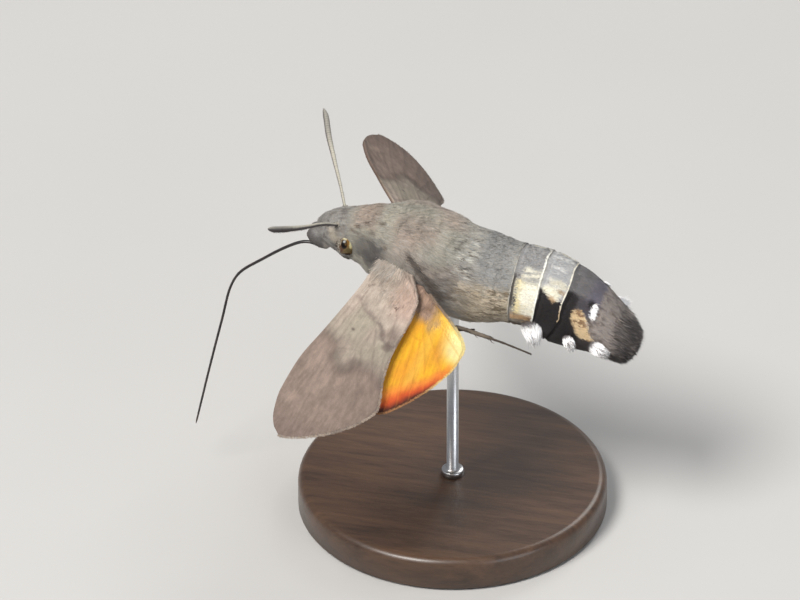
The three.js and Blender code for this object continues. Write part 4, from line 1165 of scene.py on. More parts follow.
def make_eye(which, side):
    n, m = 66, 92
    a = np.linspace(0.0, np.pi, n)
    b = np.arange(m) * 2 * np.pi / m
    A, B = np.meshgrid(a[1:-1], b, indexing="ij")
    axis, back, high = eye_axes(side)
    dirs = (np.cos(A)[..., None] * axis + (np.sin(A) * np.cos(B))[..., None] * high + (np.sin(A) * np.sin(B))[..., None] * back)
    allv = np.vstack([dirs.reshape(-1, 3), axis, -axis])
    idx = np.arange((n - 2) * m).reshape(n - 2, m)
    nxt = np.roll(idx, -1, axis=1)
    quads = np.stack([idx[:-1], nxt[:-1], nxt[1:], idx[1:]], -1).reshape(-1, 4)
    p, q = (n - 2) * m, (n - 2) * m + 1
    tris = np.concatenate([np.stack([np.full(m, p), nxt[0], idx[0]], -1), np.stack([np.full(m, q), idx[-1], nxt[-1]], -1)])
    e1, e2 = allv[quads[:, 1]] - allv[quads[:, 0]], allv[quads[:, 3]] - allv[quads[:, 0]]
    if (np.cross(e1, e2) * allv[quads[:, 0]]).sum() < 0:
        quads, tris = quads[:, ::-1], tris[:, ::-1]
    u, v = allv @ back, allv @ high
    w = 0.05 * noise(allv, 0.22, 61)
    blob = lambda cu, cv, ru, rv, soft=0.35: 1 - smooth(1 - soft, 1 + soft, np.hypot((u - cu) / ru, (v - cv) / rv) + w)
    # olive brown, cream yellow above and behind as a painted light on the upper and rear side, amber in the middle,
    # dark brown below as a painted shade, black crescent of the pupil
    c = np.broadcast_to(rgb(120, 100, 66), allv.shape)
    c = mix(c, rgb(222, 214, 176), blob(0.0, 0.48, 0.34, 0.17))
    c = mix(c, rgb(206, 196, 146), blob(0.35, -0.02, 0.15, 0.44))
    c = mix(c, rgb(138, 100, 50), blob(0.08, 0.08, 0.15, 0.34))
    c = mix(c, rgb(104, 88, 54), blob(0.16, -0.56, 0.3, 0.18))
    c = mix(c, rgb(102, 72, 54), blob(-0.52, -0.4, 0.24, 0.3))
    c = mix(c, rgb(54, 36, 30), smooth(-0.76, -0.86, v + 0.25 * u * u + w))
    c = mix(c, rgb(70, 56, 48), smooth(1.0, 1.12, eye_opening(u, v)))
    c = mix(c, rgb(22, 16, 13), blob(-0.22, -0.03, 0.26, 0.38, 0.25))
    c = mix(c, rgb(118, 90, 48), blob(-0.08, 0.0, 0.1, 0.15, 0.4) * 0.75)
    c = gain(c, 0.62)
    uv = np.vstack([np.stack([0.02 + 0.96 * B / (2 * np.pi), 0.02 + 0.96 * A / np.pi], -1).reshape(-1, 2), [[0.5, 0.01], [0.5, 0.99]]])
    o = build_mesh(f"eye_{which}_lens", eye_middle(side) + allv * EYE_R, tris, c, uv, True, quads)
    finish_piece(o, EYE_MAT, "eye", f"eye_{which}")


# ---------------------------------------------------------------- feelers, tongue and legs
def make_feeler(which, side):
    tube = Tube([[x, y * side, z] for x, y, z in ANTENNA_PATH], 240)
    thick = through([[0, 0.13], [0.12, 0.12], [0.35, 0.15], [0.6, 0.21], [0.8, 0.26], [0.92, 0.255], [0.97, 0.18], [1.0, 0.05]])
    segments = 46
    ring = lambda s, f: 1 + 0.055 * np.abs(np.sin(np.pi * segments * s)) ** 0.6 - 0.03
    v, q, caps, uv, nor, s = tube_mesh(tube, lambda x: thick(x) * 0.92, lambda x: thick(x), 400, 22, wobble=ring)
    # painted light and shade: the feeler, its club too, is lighter where its surface faces up and darker where it faces
    # down
    up = nor[:, 2]
    c = mix(rgb(98, 92, 94), rgb(214, 209, 192), smooth(0.1, 0.75, up + 0.15 * noise(v, 0.15, 5)))
    club = smooth(0.55, 0.85, s)
    c = mix(c, mix(rgb(84, 80, 80), rgb(162, 158, 150), smooth(0.0, 0.8, up)), club * 0.8)
    gap = (np.abs(np.sin(np.pi * segments * s)) < 0.22)
    c = gain(np.where(gap[:, None], c * 0.78, c), 0.62)
    parts = [(v, q, caps, uv * (1, 0.9), c)]
    # the scape, a thicker first joint
    base = Tube([tube.p[0] - tube.t[0] * 0.25, tube.p[0] + tube.t[0] * 0.1, tube.p[0] + tube.t[0] * 0.42], 20)
    bv, bq, bc, buv, _, bs = tube_mesh(base, lambda x: 0.24 * np.sqrt(np.clip(1 - (2 * x - 1) ** 4 * 0.6, 0, 1)), lambda x: 0.24 * np.sqrt(np.clip(1 - (2 * x - 1) ** 4 * 0.6, 0, 1)), 16, 24)
    parts.append((bv, bq, bc, buv * (1, 0.07) + (0, 0.92), np.broadcast_to(rgb(168, 160, 148), bv.shape)))
    V, Q, T, U, C = joined(parts)
    o = build_mesh(f"feeler_{which}", V, T, C, U, True, Q)
    finish_piece(o, FEELER_MAT, "feeler", f"antenna_{which}")
    # scales on the scape and fine cilia under the shaft
    rng = np.random.default_rng(90 + side)
    coat = Coat(soft=None)
    n = int(500 * max(DENSITY, 0.6))
    s = rng.uniform(0.02, 0.95, n)
    f = rng.uniform(-np.pi, np.pi, n)
    P, N, T = base.at(s, f, 0.23, 0.23)
    coat.add(P, N, T, 0.24, 0.05, 14, np.broadcast_to(rgb(172, 166, 154), (n, 3)), np.stack([0.02 + 0.3 * s, 0.02 + 0.96 * (f + np.pi) / 6.2832], -1), rng, fine=False, blunt=0.6)
    n = 900
    s = rng.uniform(0.12, 0.93, n)
    f = np.pi + rng.normal(0, 0.75, n)
    P, N, T = tube.at(s, f, thick(s) * 0.9, thick(s) * 0.95)
    coat.add(P, N, unit(T * 0.6 + N), 0.1 + 0.05 * rng.random(n), 0.022, 30, np.broadcast_to(rgb(120, 112, 104), (n, 3)), np.stack([0.36 + 0.6 * s, 0.02 + 0.96 * (f % 6.2832) / 6.2832], -1), rng, fine=False)
    coat.write(f"feeler_{which}_scales", FEELER_MAT, "feeler")


def make_tongue():
    tube = Tube(PROBOSCIS_PATH, 400)
    thick = through([[0, 0.17], [0.1, 0.15], [0.5, 0.13], [0.9, 0.11], [0.985, 0.085], [1.0, 0.03]])
    lobes = lambda s, f: 1 - 0.16 * np.exp(-((np.cos(f) ** 2 - 1) ** 2) / 0.004) + 0.02 * np.sin(s * tube.length * 2 * np.pi / 0.12)
    v, q, caps, uv, nor, s = tube_mesh(tube, lambda x: thick(x), lambda x: thick(x) * 0.86, 640, 16, wobble=lobes)
    c = mix(rgb(34, 29, 30), rgb(58, 48, 46), smooth(0.2, 0.8, noise(v, 0.3, 7)))
    c = mix(c, rgb(92, 70, 52), smooth(0.94, 1.0, s) * 0.6)
    o = build_mesh("tongue", v, caps, c, uv, True, q)
    finish_piece(o, TONGUE_MAT, "tongue", "proboscis_base", "proboscis_mid", "proboscis_tip")


def make_leg(pair, which, side):
    rng = np.random.default_rng(hash_name(pair) + side + 2)
    femur = Tube([[x, y * side, z] for x, y, z in LEGS[pair]["femur"]], 60)
    tib_path = [[x, y * side, z] for x, y, z in LEGS[pair]["tibia"]]
    end = np.array(femur.p[-1])
    shin = Tube([list(end + (np.array(tib_path[0]) - end) * 0.15)] + tib_path, 160)
    parts = []
    fr = through([[0, 0.24], [0.25, 0.27], [0.7, 0.22], [1, 0.14]])
    v, q, caps, uv, nor, s = tube_mesh(femur, lambda x: fr(x) * round_ends(x, 0.08, 0.1), lambda x: fr(x) * 1.15 * round_ends(x, 0.08, 0.1), 40, 20)
    # painted light and shade: the legs are lighter where their surface faces up and darker where it faces down
    pale, dark = rgb(118, 108, 96), rgb(62, 54, 48)
    col = lambda P, N: mix(np.broadcast_to(dark, P.shape), pale, smooth(-0.6, 0.6, N[:, 2] * 0.7 + 0.6 * noise(P, 0.4, 15)))
    parts.append((v, q, caps, uv * (0.48, 0.4), col(v, nor)))
    # shin to just past half way, then five joints of the foot
    split = 0.5
    tr = through([[0, 0.12], [0.06, 0.17], [0.35, 0.16], [split - 0.03, 0.145], [split, 0.1], [0.7, 0.085], [1, 0.07]])
    joints = [split, 0.68, 0.79, 0.87, 0.935, 1.0]

    def foot(s, f):
        k = np.ones_like(s)
        for a, b in zip(joints[:-1], joints[1:]):
            u = (s - a) / (b - a)
            k = np.where((u >= 0) & (u <= 1), 0.82 + 0.3 * np.sqrt(np.clip(u, 0, 1)) * (1 - np.clip((u - 0.9) / 0.1, 0, 1) * 0.45), k)
        return k * round_ends(s, 0.02, 0.02)
    v, q, caps, uv, nor, s = tube_mesh(shin, tr, tr, 220, 16, wobble=foot)
    cc = mix(col(v, nor), rgb(52, 44, 40), smooth(split - 0.05, split + 0.1, s) * 0.75)
    parts.append((v, q, caps, uv * (0.48, 0.4) + (0.5, 0), cc))
    # spurs at the end of the shin, and two claws
    spurs = [(split - 0.015, 0.7, 0.75), (split - 0.015, -0.7, 0.6)]
    if pair == "hindleg":
        spurs += [(0.3, 0.6, 0.7), (0.3, -0.6, 0.55)]
    if pair == "foreleg":
        spurs = [(split - 0.12, 0.5, 0.45)]
    k = 0
    for at, turn, ln in spurs + [(0.985, 0.5, 0.2), (0.985, -0.5, 0.2)]:
        p, n, t = shin.at(np.array([at]), np.array([np.pi + turn]), 0.1 if at < 0.9 else 0.05, 0.1 if at < 0.9 else 0.05)
        p, n, t = p[0], n[0], t[0]
        tip = p + t * ln * 0.85 + n * ln * 0.38
        horn = Tube([p - n * 0.05, (p + tip) / 2 + n * ln * 0.1, tip], 20)
        r0 = 0.055 if at < 0.9 else 0.03
        hv, hq, hc, huv, _, hs = tube_mesh(horn, lambda x: r0 * (1 - 0.9 * x), lambda x: r0 * (1 - 0.9 * x), 14, 10)
        parts.append((hv, hq, hc, huv * (0.1, 0.2) + (0.02 + 0.12 * k, 0.6), np.broadcast_to(rgb(60, 48, 40), hv.shape)))
        k += 1
    V, Q, T, U, C = joined(parts)
    o = build_mesh(f"{pair}_{which}_whole", V, T, C, U, True, Q)
    finish_piece(o, LEG_MAT, "leg", f"{pair}_{which}_femur", f"{pair}_{which}_tibia")
    coat = Coat(soft=0.4)
    for tube, rr, a, b, n, x0 in ((femur, lambda x: fr(x), 0.02, 0.97, 700, 0.0), (shin, lambda x: tr(x), 0.03, 0.5, 650, 0.33), (shin, lambda x: tr(x), 0.5, 0.97, 420, 0.66)):
        n = int(n * max(DENSITY, 0.6))
        s = rng.uniform(a, b, n)
        f = rng.uniform(-np.pi, np.pi, n)
        P, N, Tn = tube.at(s, f, rr(s) * 0.95, rr(s) * 0.95)
        # the scales take the same painted light and shade
        c = col(P, N)
        if x0 > 0.5:
            c = mix(c, rgb(58, 50, 45), 0.6 * np.ones(n))
        ln = 0.3 if x0 == 0 else (0.22 if x0 < 0.5 else 0.13)
        uv = np.stack([x0 + 0.01 + 0.31 * (s - a) / (b - a), 0.02 + 0.96 * (f + np.pi) / 6.2832], -1)
        coat.add(P, N, Tn, ln, 0.05 if x0 < 0.5 else 0.035, 12, c, uv, rng, fine=False, blunt=0.4, sink=0.02)
    coat.write(f"{pair}_{which}_scales", LEG_MAT, "leg")


def hash_name(text):
    return sum(ord(ch) * (i + 3) for i, ch in enumerate(text)) % 9973


# ---------------------------------------------------------------- wings
FORE_VEINS = [
    [(0, .35), (4, .15), (8, -.2), (11, -.6), (12.5, -.95)],
    [(0, .7), (4, .55), (7.5, .35), (10, .1), (13.5, -.85)],
    [(0, .95), (4, .98), (8, .98), (10.5, .8), (14.5, .6), (18.4, .5)],
    [(9.5, .9), (12, .3), (15.4, -.8)], [(10.5, .8), (14, .15), (17.2, -.3)],
    [(9.2, 1.2), (13, 1.3), (16.5, 1.6), (18.8, 1.9)], [(9.0, 1.9), (13, 2.4), (18, 3.3)],
    [(8.8, 2.7), (12.5, 3.6), (16.8, 4.8)], [(8.4, 3.0), (11.5, 4.3), (15.2, 5.95)],
    [(6.0, 3.05), (9.5, 4.6), (13.6, 6.7)], [(0, 1.9), (3, 2.5), (6, 3.0), (8.8, 2.75)],
    [(9.4, .95), (9.2, 1.5), (8.9, 2.2), (8.7, 2.8)], [(0, 2.6), (4, 4.0), (8, 4.9), (12.2, 6.5)],
]
HIND_VEINS = [
    [(0, 3.0), (4, 4.4), (8, 4.9), (11.6, 6.0)], [(0, 3.3), (3, 5.0), (7, 5.65), (12.2, 6.6)],
    [(4.5, 5.5), (8, 6.2), (11.9, 7.25)], [(4.6, 6.0), (8, 6.9), (11, 7.9)], [(4.6, 6.5), (7.5, 7.6), (10, 8.5)],
    [(4.2, 6.7), (6.5, 8.1), (8.6, 9.1)], [(3.2, 6.4), (5.2, 8.6), (6.6, 9.8)], [(0, 3.9), (2, 5.4), (4.3, 6.65)],
    [(4.4, 5.3), (4.6, 6.0), (4.4, 6.7)], [(0, 4.2), (2, 6.6), (4, 10)], [(.3, 4.9), (1.5, 7.4), (2.6, 9.3)],
]
FORE_INNER = [(3.87, 0.1), (4.0, .6), (4.54, 1.16), (5.17, 2.14), (5.35, 2.99), (5.91, 3.75), (6.84, 4.04), (6.77, 5.2)]
FORE_OUTER = [(8.2, -.6), (8.43, 0.08), (8.67, .53), (9.03, 1.13), (10.1, 1.35), (11.0, 2.15), (10.93, 2.83), (9.85, 3.3), (9.74, 4.5), (10.3, 5.9)]


def polyline_distance(S, C, line):
    """Distance to a line of points, in the wing's own plane."""
    best = np.full(S.shape, 1e9)
    for (a, b), (c, d) in zip(line[:-1], line[1:]):
        ux, uy = c - a, d - b
        k = np.clip(((S - a) * ux + (C - b) * uy) / (ux * ux + uy * uy), 0, 1)
        best = np.minimum(best, np.hypot(S - a - k * ux, C - b - k * uy))
    return best


def rounded(line, times=2):
    """Corner cutting, so that a marking's line is smooth."""
    p = np.array(line, float)
    for _ in range(times):
        q = np.empty((2 * len(p) - 2, 2))
        q[0::2] = p[:-1] * 0.75 + p[1:] * 0.25
        q[1::2] = p[:-1] * 0.25 + p[1:] * 0.75
        p = np.vstack([p[:1], q[1:-1], p[-1:]])
    return [tuple(r) for r in p]


def wing_axes(which):
    d = WINGS[which]
    w = np.array(d["span"], float)
    w[1] *= d["side"]
    w = unit(w)
    x = np.array([1.0, 0, 0])
    a = unit(x - (w @ x) * w)
    v = np.cross(w, a) * (-d["side"])
    t = math.radians(d["pitch"])
    c = a * math.cos(t) + v * math.sin(t)
    up = v * math.cos(t) - a * math.sin(t)
    return w, c, up, np.array([WING_ROOT[0], WING_ROOT[1] * d["side"], WING_ROOT[2]])


def wing_point(which, s, c, rise=0.0):
    d = WINGS[which]
    w, cc, up, root = wing_axes(which)
    k = np.clip((c + 0.4) / 8.5, 0, 1)
    h = d["camber"] * np.sin(np.pi * k) + d["bend"] * s * s + d["twist"] * s * c + rise
    return root + s[..., None] * w + c[..., None] * cc + h[..., None] * up


# gain on the wings' colours; the right wing, the far one, gets less, a painted shade that darkens all of it
WING_GAIN_WITH_FAR_SHADE = {"left": 0.65, "right": 0.5}


def fore_colour(S, C, vein, top, rim=9.0):
    P = np.stack([S, C, np.zeros_like(S)], -1)
    n1, n2, n3 = noise(P, (2.2, 1.6, 1), 101), noise(P, (0.9, 0.6, 1), 102), noise(P, (0.35, 0.2, 1), 103)
    s = S + 0.12 * n2 + 0.05 * n3
    if not top:
        c = mix(rgb(196, 128, 62), rgb(150, 104, 74), smooth(3, 11, s + n1))
        c = mix(c, rgb(118, 92, 76), smooth(12.5, 17.5, s + 0.6 * n1) * 0.8)
        c = mix(c, rgb(206, 176, 118), (1 - smooth(0.5, 3.5, S)) * 0.6)
        c = mix(c, rgb(104, 78, 62), (1 - smooth(0.02, 0.09, vein)) * 0.45)
        c = mix(c, rgb(112, 92, 80), (1 - smooth(0.25, 0.7, rim)) * 0.9)
        return c * (1 + 0.05 * n3[..., None])
    inner = polyline_distance(S, C, rounded(FORE_INNER))
    outer = polyline_distance(S, C, rounded(FORE_OUTER))
    line_at = np.interp(C, [p[1] for p in sorted(FORE_INNER, key=lambda p: p[1])], [p[0] for p in sorted(FORE_INNER, key=lambda p: p[1])])
    outer_at = np.interp(C, [-0.6, 0.08, 0.53, 1.13, 1.35, 2.15, 2.83, 3.3, 4.5, 5.9], [8.2, 8.43, 8.67, 9.03, 10.1, 11.0, 10.93, 9.85, 9.74, 10.3])
    basal = 1 - smooth(-0.3, 0.3, s - line_at)
    distal = smooth(-0.3, 0.5, s - outer_at)
    c = mix(rgb(178, 163, 150), rgb(168, 158, 142), smooth(-0.3, 0.6, n1))
    c = mix(c, rgb(176, 163, 150), basal * 0.85)
    c = mix(c, rgb(186, 160, 146), smooth(2.2, 4.2, C + 0.4 * n2) * (1 - smooth(3.2, 5.6, S)) * 0.8)
    c = mix(c, rgb(148, 129, 118), distal * 0.9)
    c = mix(c, rgb(168, 148, 136), distal * smooth(-0.2, 0.7, n1) * 0.6)
    c = mix(c, rgb(132, 114, 106), smooth(15.2, 18.0, s + 0.5 * n1) * 0.7)
    edge = smooth(11.5, 13.5, S + 0.6 * C) * smooth(0.55, 0.9, C / 7)
    c = mix(c, rgb(140, 122, 112), edge * 0.5)
    # wavy dark lines, the inner one widening towards the rear edge
    c = mix(c, rgb(116, 102, 96), (1 - smooth(0.02, 0.42, inner + 0.16 * n2 + 0.06 * n3)) * (0.45 + 0.3 * smooth(0.5, 4.5, C)) * smooth(-0.7, 0.3, n3 + 0.6 * n2 + 0.2))
    c = mix(c, rgb(116, 102, 94), (1 - smooth(0.1, 0.95, outer + 0.22 * n2)) * (0.45 + 0.25 * band(C, 1.9, 3.6, 0.5)))
    c = mix(c, rgb(104, 90, 84), (1 - smooth(0.1, 0.55, np.hypot(S - 7.2, (C - 4.7) * 0.7) + 0.12 * n2)) * 0.6)
    c = mix(c, rgb(118, 102, 94), (1 - smooth(0.3, 1.15, np.hypot((S - 5.9) * 0.8, C - 4.6) + 0.25 * n2)) * 0.6)
    c = mix(c, rgb(110, 98, 92), (1 - smooth(0.08, 0.3, np.hypot(S - 2.15, C - 0.63))) * 0.7)
    c = mix(c, rgb(78, 68, 64), (1 - smooth(0.05, 0.22, np.hypot(S - 7.0, C - 1.45))) * 0.6)
    fleck = smooth(0.55, 0.85, noise(P, (0.34, 0.26, 1), 105)) * band(S, 2.0, 4.2, 0.4) * band(C, 3.0, 4.3, 0.4)
    c = mix(c, rgb(84, 66, 58), fleck * 0.75)
    c = mix(c, rgb(126, 112, 103), (1 - smooth(0.03, 0.12, vein)) * 0.2)
    streak = noise(P, (0.8, 0.1, 1), 106)
    return c * (1 + 0.05 * streak[..., None] + 0.05 * n3[..., None] + 0.035 * n2[..., None])


def hind_colour(S, C, vein, top, lead, trail):
    P = np.stack([S, C, np.zeros_like(S)], -1)
    n1, n2, n3 = noise(P, (2.0, 1.4, 1), 201), noise(P, (0.8, 0.5, 1), 202), noise(P, (0.3, 0.2, 1), 203)
    fan = noise(np.stack([S * 0.35, C * 1.6 - 0.28 * S, np.zeros_like(S)], -1), 1.0, 204)
    c = mix(rgb(252, 186, 48), rgb(246, 170, 52), smooth(-0.2, 0.8, n1))
    c = mix(c, rgb(254, 200, 88), band(C - 0.12 * (S - 5), 6.8, 7.7, 0.35) * 0.55)
    c = mix(c, rgb(230, 158, 64), band(C - 0.2 * (S - 4), 7.9, 8.6, 0.25) * band(S, 2.0, 5.6, 0.6) * 0.65)
    c = mix(c, rgb(224, 150, 62), smooth(0.2, 0.9, fan) * 0.3)
    # pale inner lobe
    lobe = smooth(6.9, 8.6, C + 0.45 * (2.6 - S)) * (1 - smooth(3.6, 5.4, S - 0.3 * (C - 8)))
    c = mix(c, mix(rgb(246, 208, 112), rgb(252, 232, 160), smooth(7.6, 9.2, C)), np.clip(lobe, 0, 1))
    # orange to red brown border, widest at the tip
    border = 0.45 + 1.25 * smooth(5.5, 11.8, S)
    d = np.minimum(trail - C, (12.7 - S) * 1.25) + 0.14 * n2
    c = mix(c, rgb(244, 142, 60), (1 - smooth(border * 0.9, border * 1.9, d)) * smooth(4.4, 6.2, S) * 0.9)
    c = mix(c, rgb(212, 84, 44), (1 - smooth(border * 0.45, border * 1.05, d)) * smooth(5.4, 8.5, S) * 0.9)
    c = mix(c, rgb(122, 52, 34), (1 - smooth(border * 0.18, border * 0.55, d)) * smooth(6.5, 9.0, S) * 0.95)
    c = mix(c, rgb(76, 44, 34), (1 - smooth(0.08, border * 0.3, d)) * smooth(7.5, 9.5, S) * 0.9)
    # front edge that goes under the fore wing
    c = mix(c, rgb(222, 134, 84), (1 - smooth(0.25, 0.8, C - lead)) * 0.5)
    # brown grey base
    base = (1 - smooth(2.3, 3.5, S + 0.45 * n1 + 0.3 * n2)) * (1 - smooth(5.9, 7.3, C + 0.35 * n2 + 0.3 * n1))
    if top:
        c = mix(c, mix(rgb(158, 133, 120), rgb(130, 109, 99), smooth(-0.2, 0.6, n2)), base * 0.95)
    else:
        c = mix(c, rgb(236, 204, 128), base * 0.7)
        c = mix(c, rgb(222, 150, 74), smooth(5, 9, S) * 0.35)
    c = mix(c, rgb(220, 142, 52), (1 - smooth(0.03, 0.12, vein)) * 0.2 * (1 - base))
    streak = noise(np.stack([S, C * 1.0 - 0.25 * S, np.zeros_like(S)], -1), (1.0, 0.11, 1), 206)
    return c * (1 + 0.045 * streak[..., None] + 0.03 * n3[..., None])


def make_wing(which, kind):
    shape = FOREWING if kind == "forewing" else HINDWING
    veins = FORE_VEINS if kind == "forewing" else HIND_VEINS
    drop = 0.0 if kind == "forewing" else HINDWING_DROP
    lead, trail = through(shape["lead"]), through(shape["trail"])
    s0, s1 = shape["lead"][0][0], shape["lead"][-1][0]
    n, m = ((200, 72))
    # even steps, closer together at the tip
    u = np.linspace(0, 1, n)
    s = s0 + (s1 - s0) * (1 - (1 - u) ** 1.12)
    q = np.linspace(0, 1, m)
    S = np.repeat(s[:, None], m, 1)
    C = lead(s)[:, None] + (trail(s) - lead(s))[:, None] * q[None]
    vein = np.full(S.shape, 9.0)
    for line in veins:
        vein = np.minimum(vein, polyline_distance(S, C, rounded(line)))
    ridge = np.exp(-((vein / 0.075) ** 2))
    P2 = np.stack([S, C, np.zeros_like(S)], -1)
    pleat = 0.05 * noise(P2, (3.0, 0.9, 1), 301) + 0.022 * noise(P2, (1.1, 0.35, 1), 302) - 0.05 * np.clip(vein, 0, 0.6)
    inside = np.minimum(np.minimum(C - lead(S), trail(S) - C), s1 - S)
    pleat = pleat * smooth(0, 0.8, inside)
    half = WING_SHEET / 2 * (0.55 + 0.45 * smooth(0, 0.25, inside))
    # the front edge is a thicker bar
    bar = np.exp(-(((C - lead(S)) / 0.22) ** 2)) * (1 - smooth(0.8, 1.0, (S - s0) / (s1 - s0))) * (0.13 if kind == "forewing" else 0.05)
    top = wing_point(which, S, C, pleat - drop + half + 0.03 * ridge + bar)
    bot = wing_point(which, S, C, pleat - drop - half - 0.03 * ridge - bar * 0.8)
    if kind == "forewing":
        ct, cb = fore_colour(S, C, vein, True), fore_colour(S, C, vein, False, C - lead(S))
    else:
        ct, cb = (hind_colour(S, C, vein, k, lead(S), trail(S)) for k in (True, False))
    # painted light: each wing is brightened towards its root, against the shade that the body casts there
    inner_painted_light = 1 + 0.42 * (1 - smooth(1.0, 9.0, S)) if kind == "forewing" else 1 + 0.25 * (1 - smooth(1.0, 4.0, S))
    ct, cb = gain(ct, WING_GAIN_WITH_FAR_SHADE[which] * inner_painted_light[..., None]), gain(cb, 0.75)
    idx = np.arange(n * m).reshape(n, m)
    low = idx + n * m
    quads = [np.stack([idx[:-1, :-1], idx[1:, :-1], idx[1:, 1:], idx[:-1, 1:]], -1).reshape(-1, 4),
             np.stack([low[:-1, :-1], low[:-1, 1:], low[1:, 1:], low[1:, :-1]], -1).reshape(-1, 4)]
    rim = np.concatenate([idx[:, 0], idx[-1, 1:], idx[::-1, -1][1:], idx[0, ::-1][1:-1]])
    nxt = np.roll(rim, -1)
    quads.append(np.stack([rim, rim + n * m, nxt + n * m, nxt], -1))
    quads = np.vstack(quads)
    verts = np.vstack([top.reshape(-1, 3), bot.reshape(-1, 3)])
    up = wing_axes(which)[2]
    e = np.cross(verts[quads[0, 1]] - verts[quads[0, 0]], verts[quads[0, 3]] - verts[quads[0, 0]])
    if e @ up < 0:
        quads = quads[:, ::-1]
    us, uc = (S - s0) / (s1 - s0), (C + 1.2) / (11.5 if kind == "hindwing" else 8.4)
    uv = np.vstack([np.stack([0.01 + 0.98 * us, 0.01 + 0.475 * uc], -1).reshape(-1, 2), np.stack([0.01 + 0.98 * us, 0.505 + 0.475 * uc], -1).reshape(-1, 2)])
    tint = np.vstack([ct.reshape(-1, 3), cb.reshape(-1, 3)])
    o = build_mesh(f"{kind}_{which}_sheet", verts, None, tint, uv, True, quads)
    finish_piece(o, FOREWING_MAT if kind == "forewing" else HINDWING_MAT, kind, f"{kind}_{which}")
    wing_fringe(which, kind, lead, trail, s0, s1, drop)


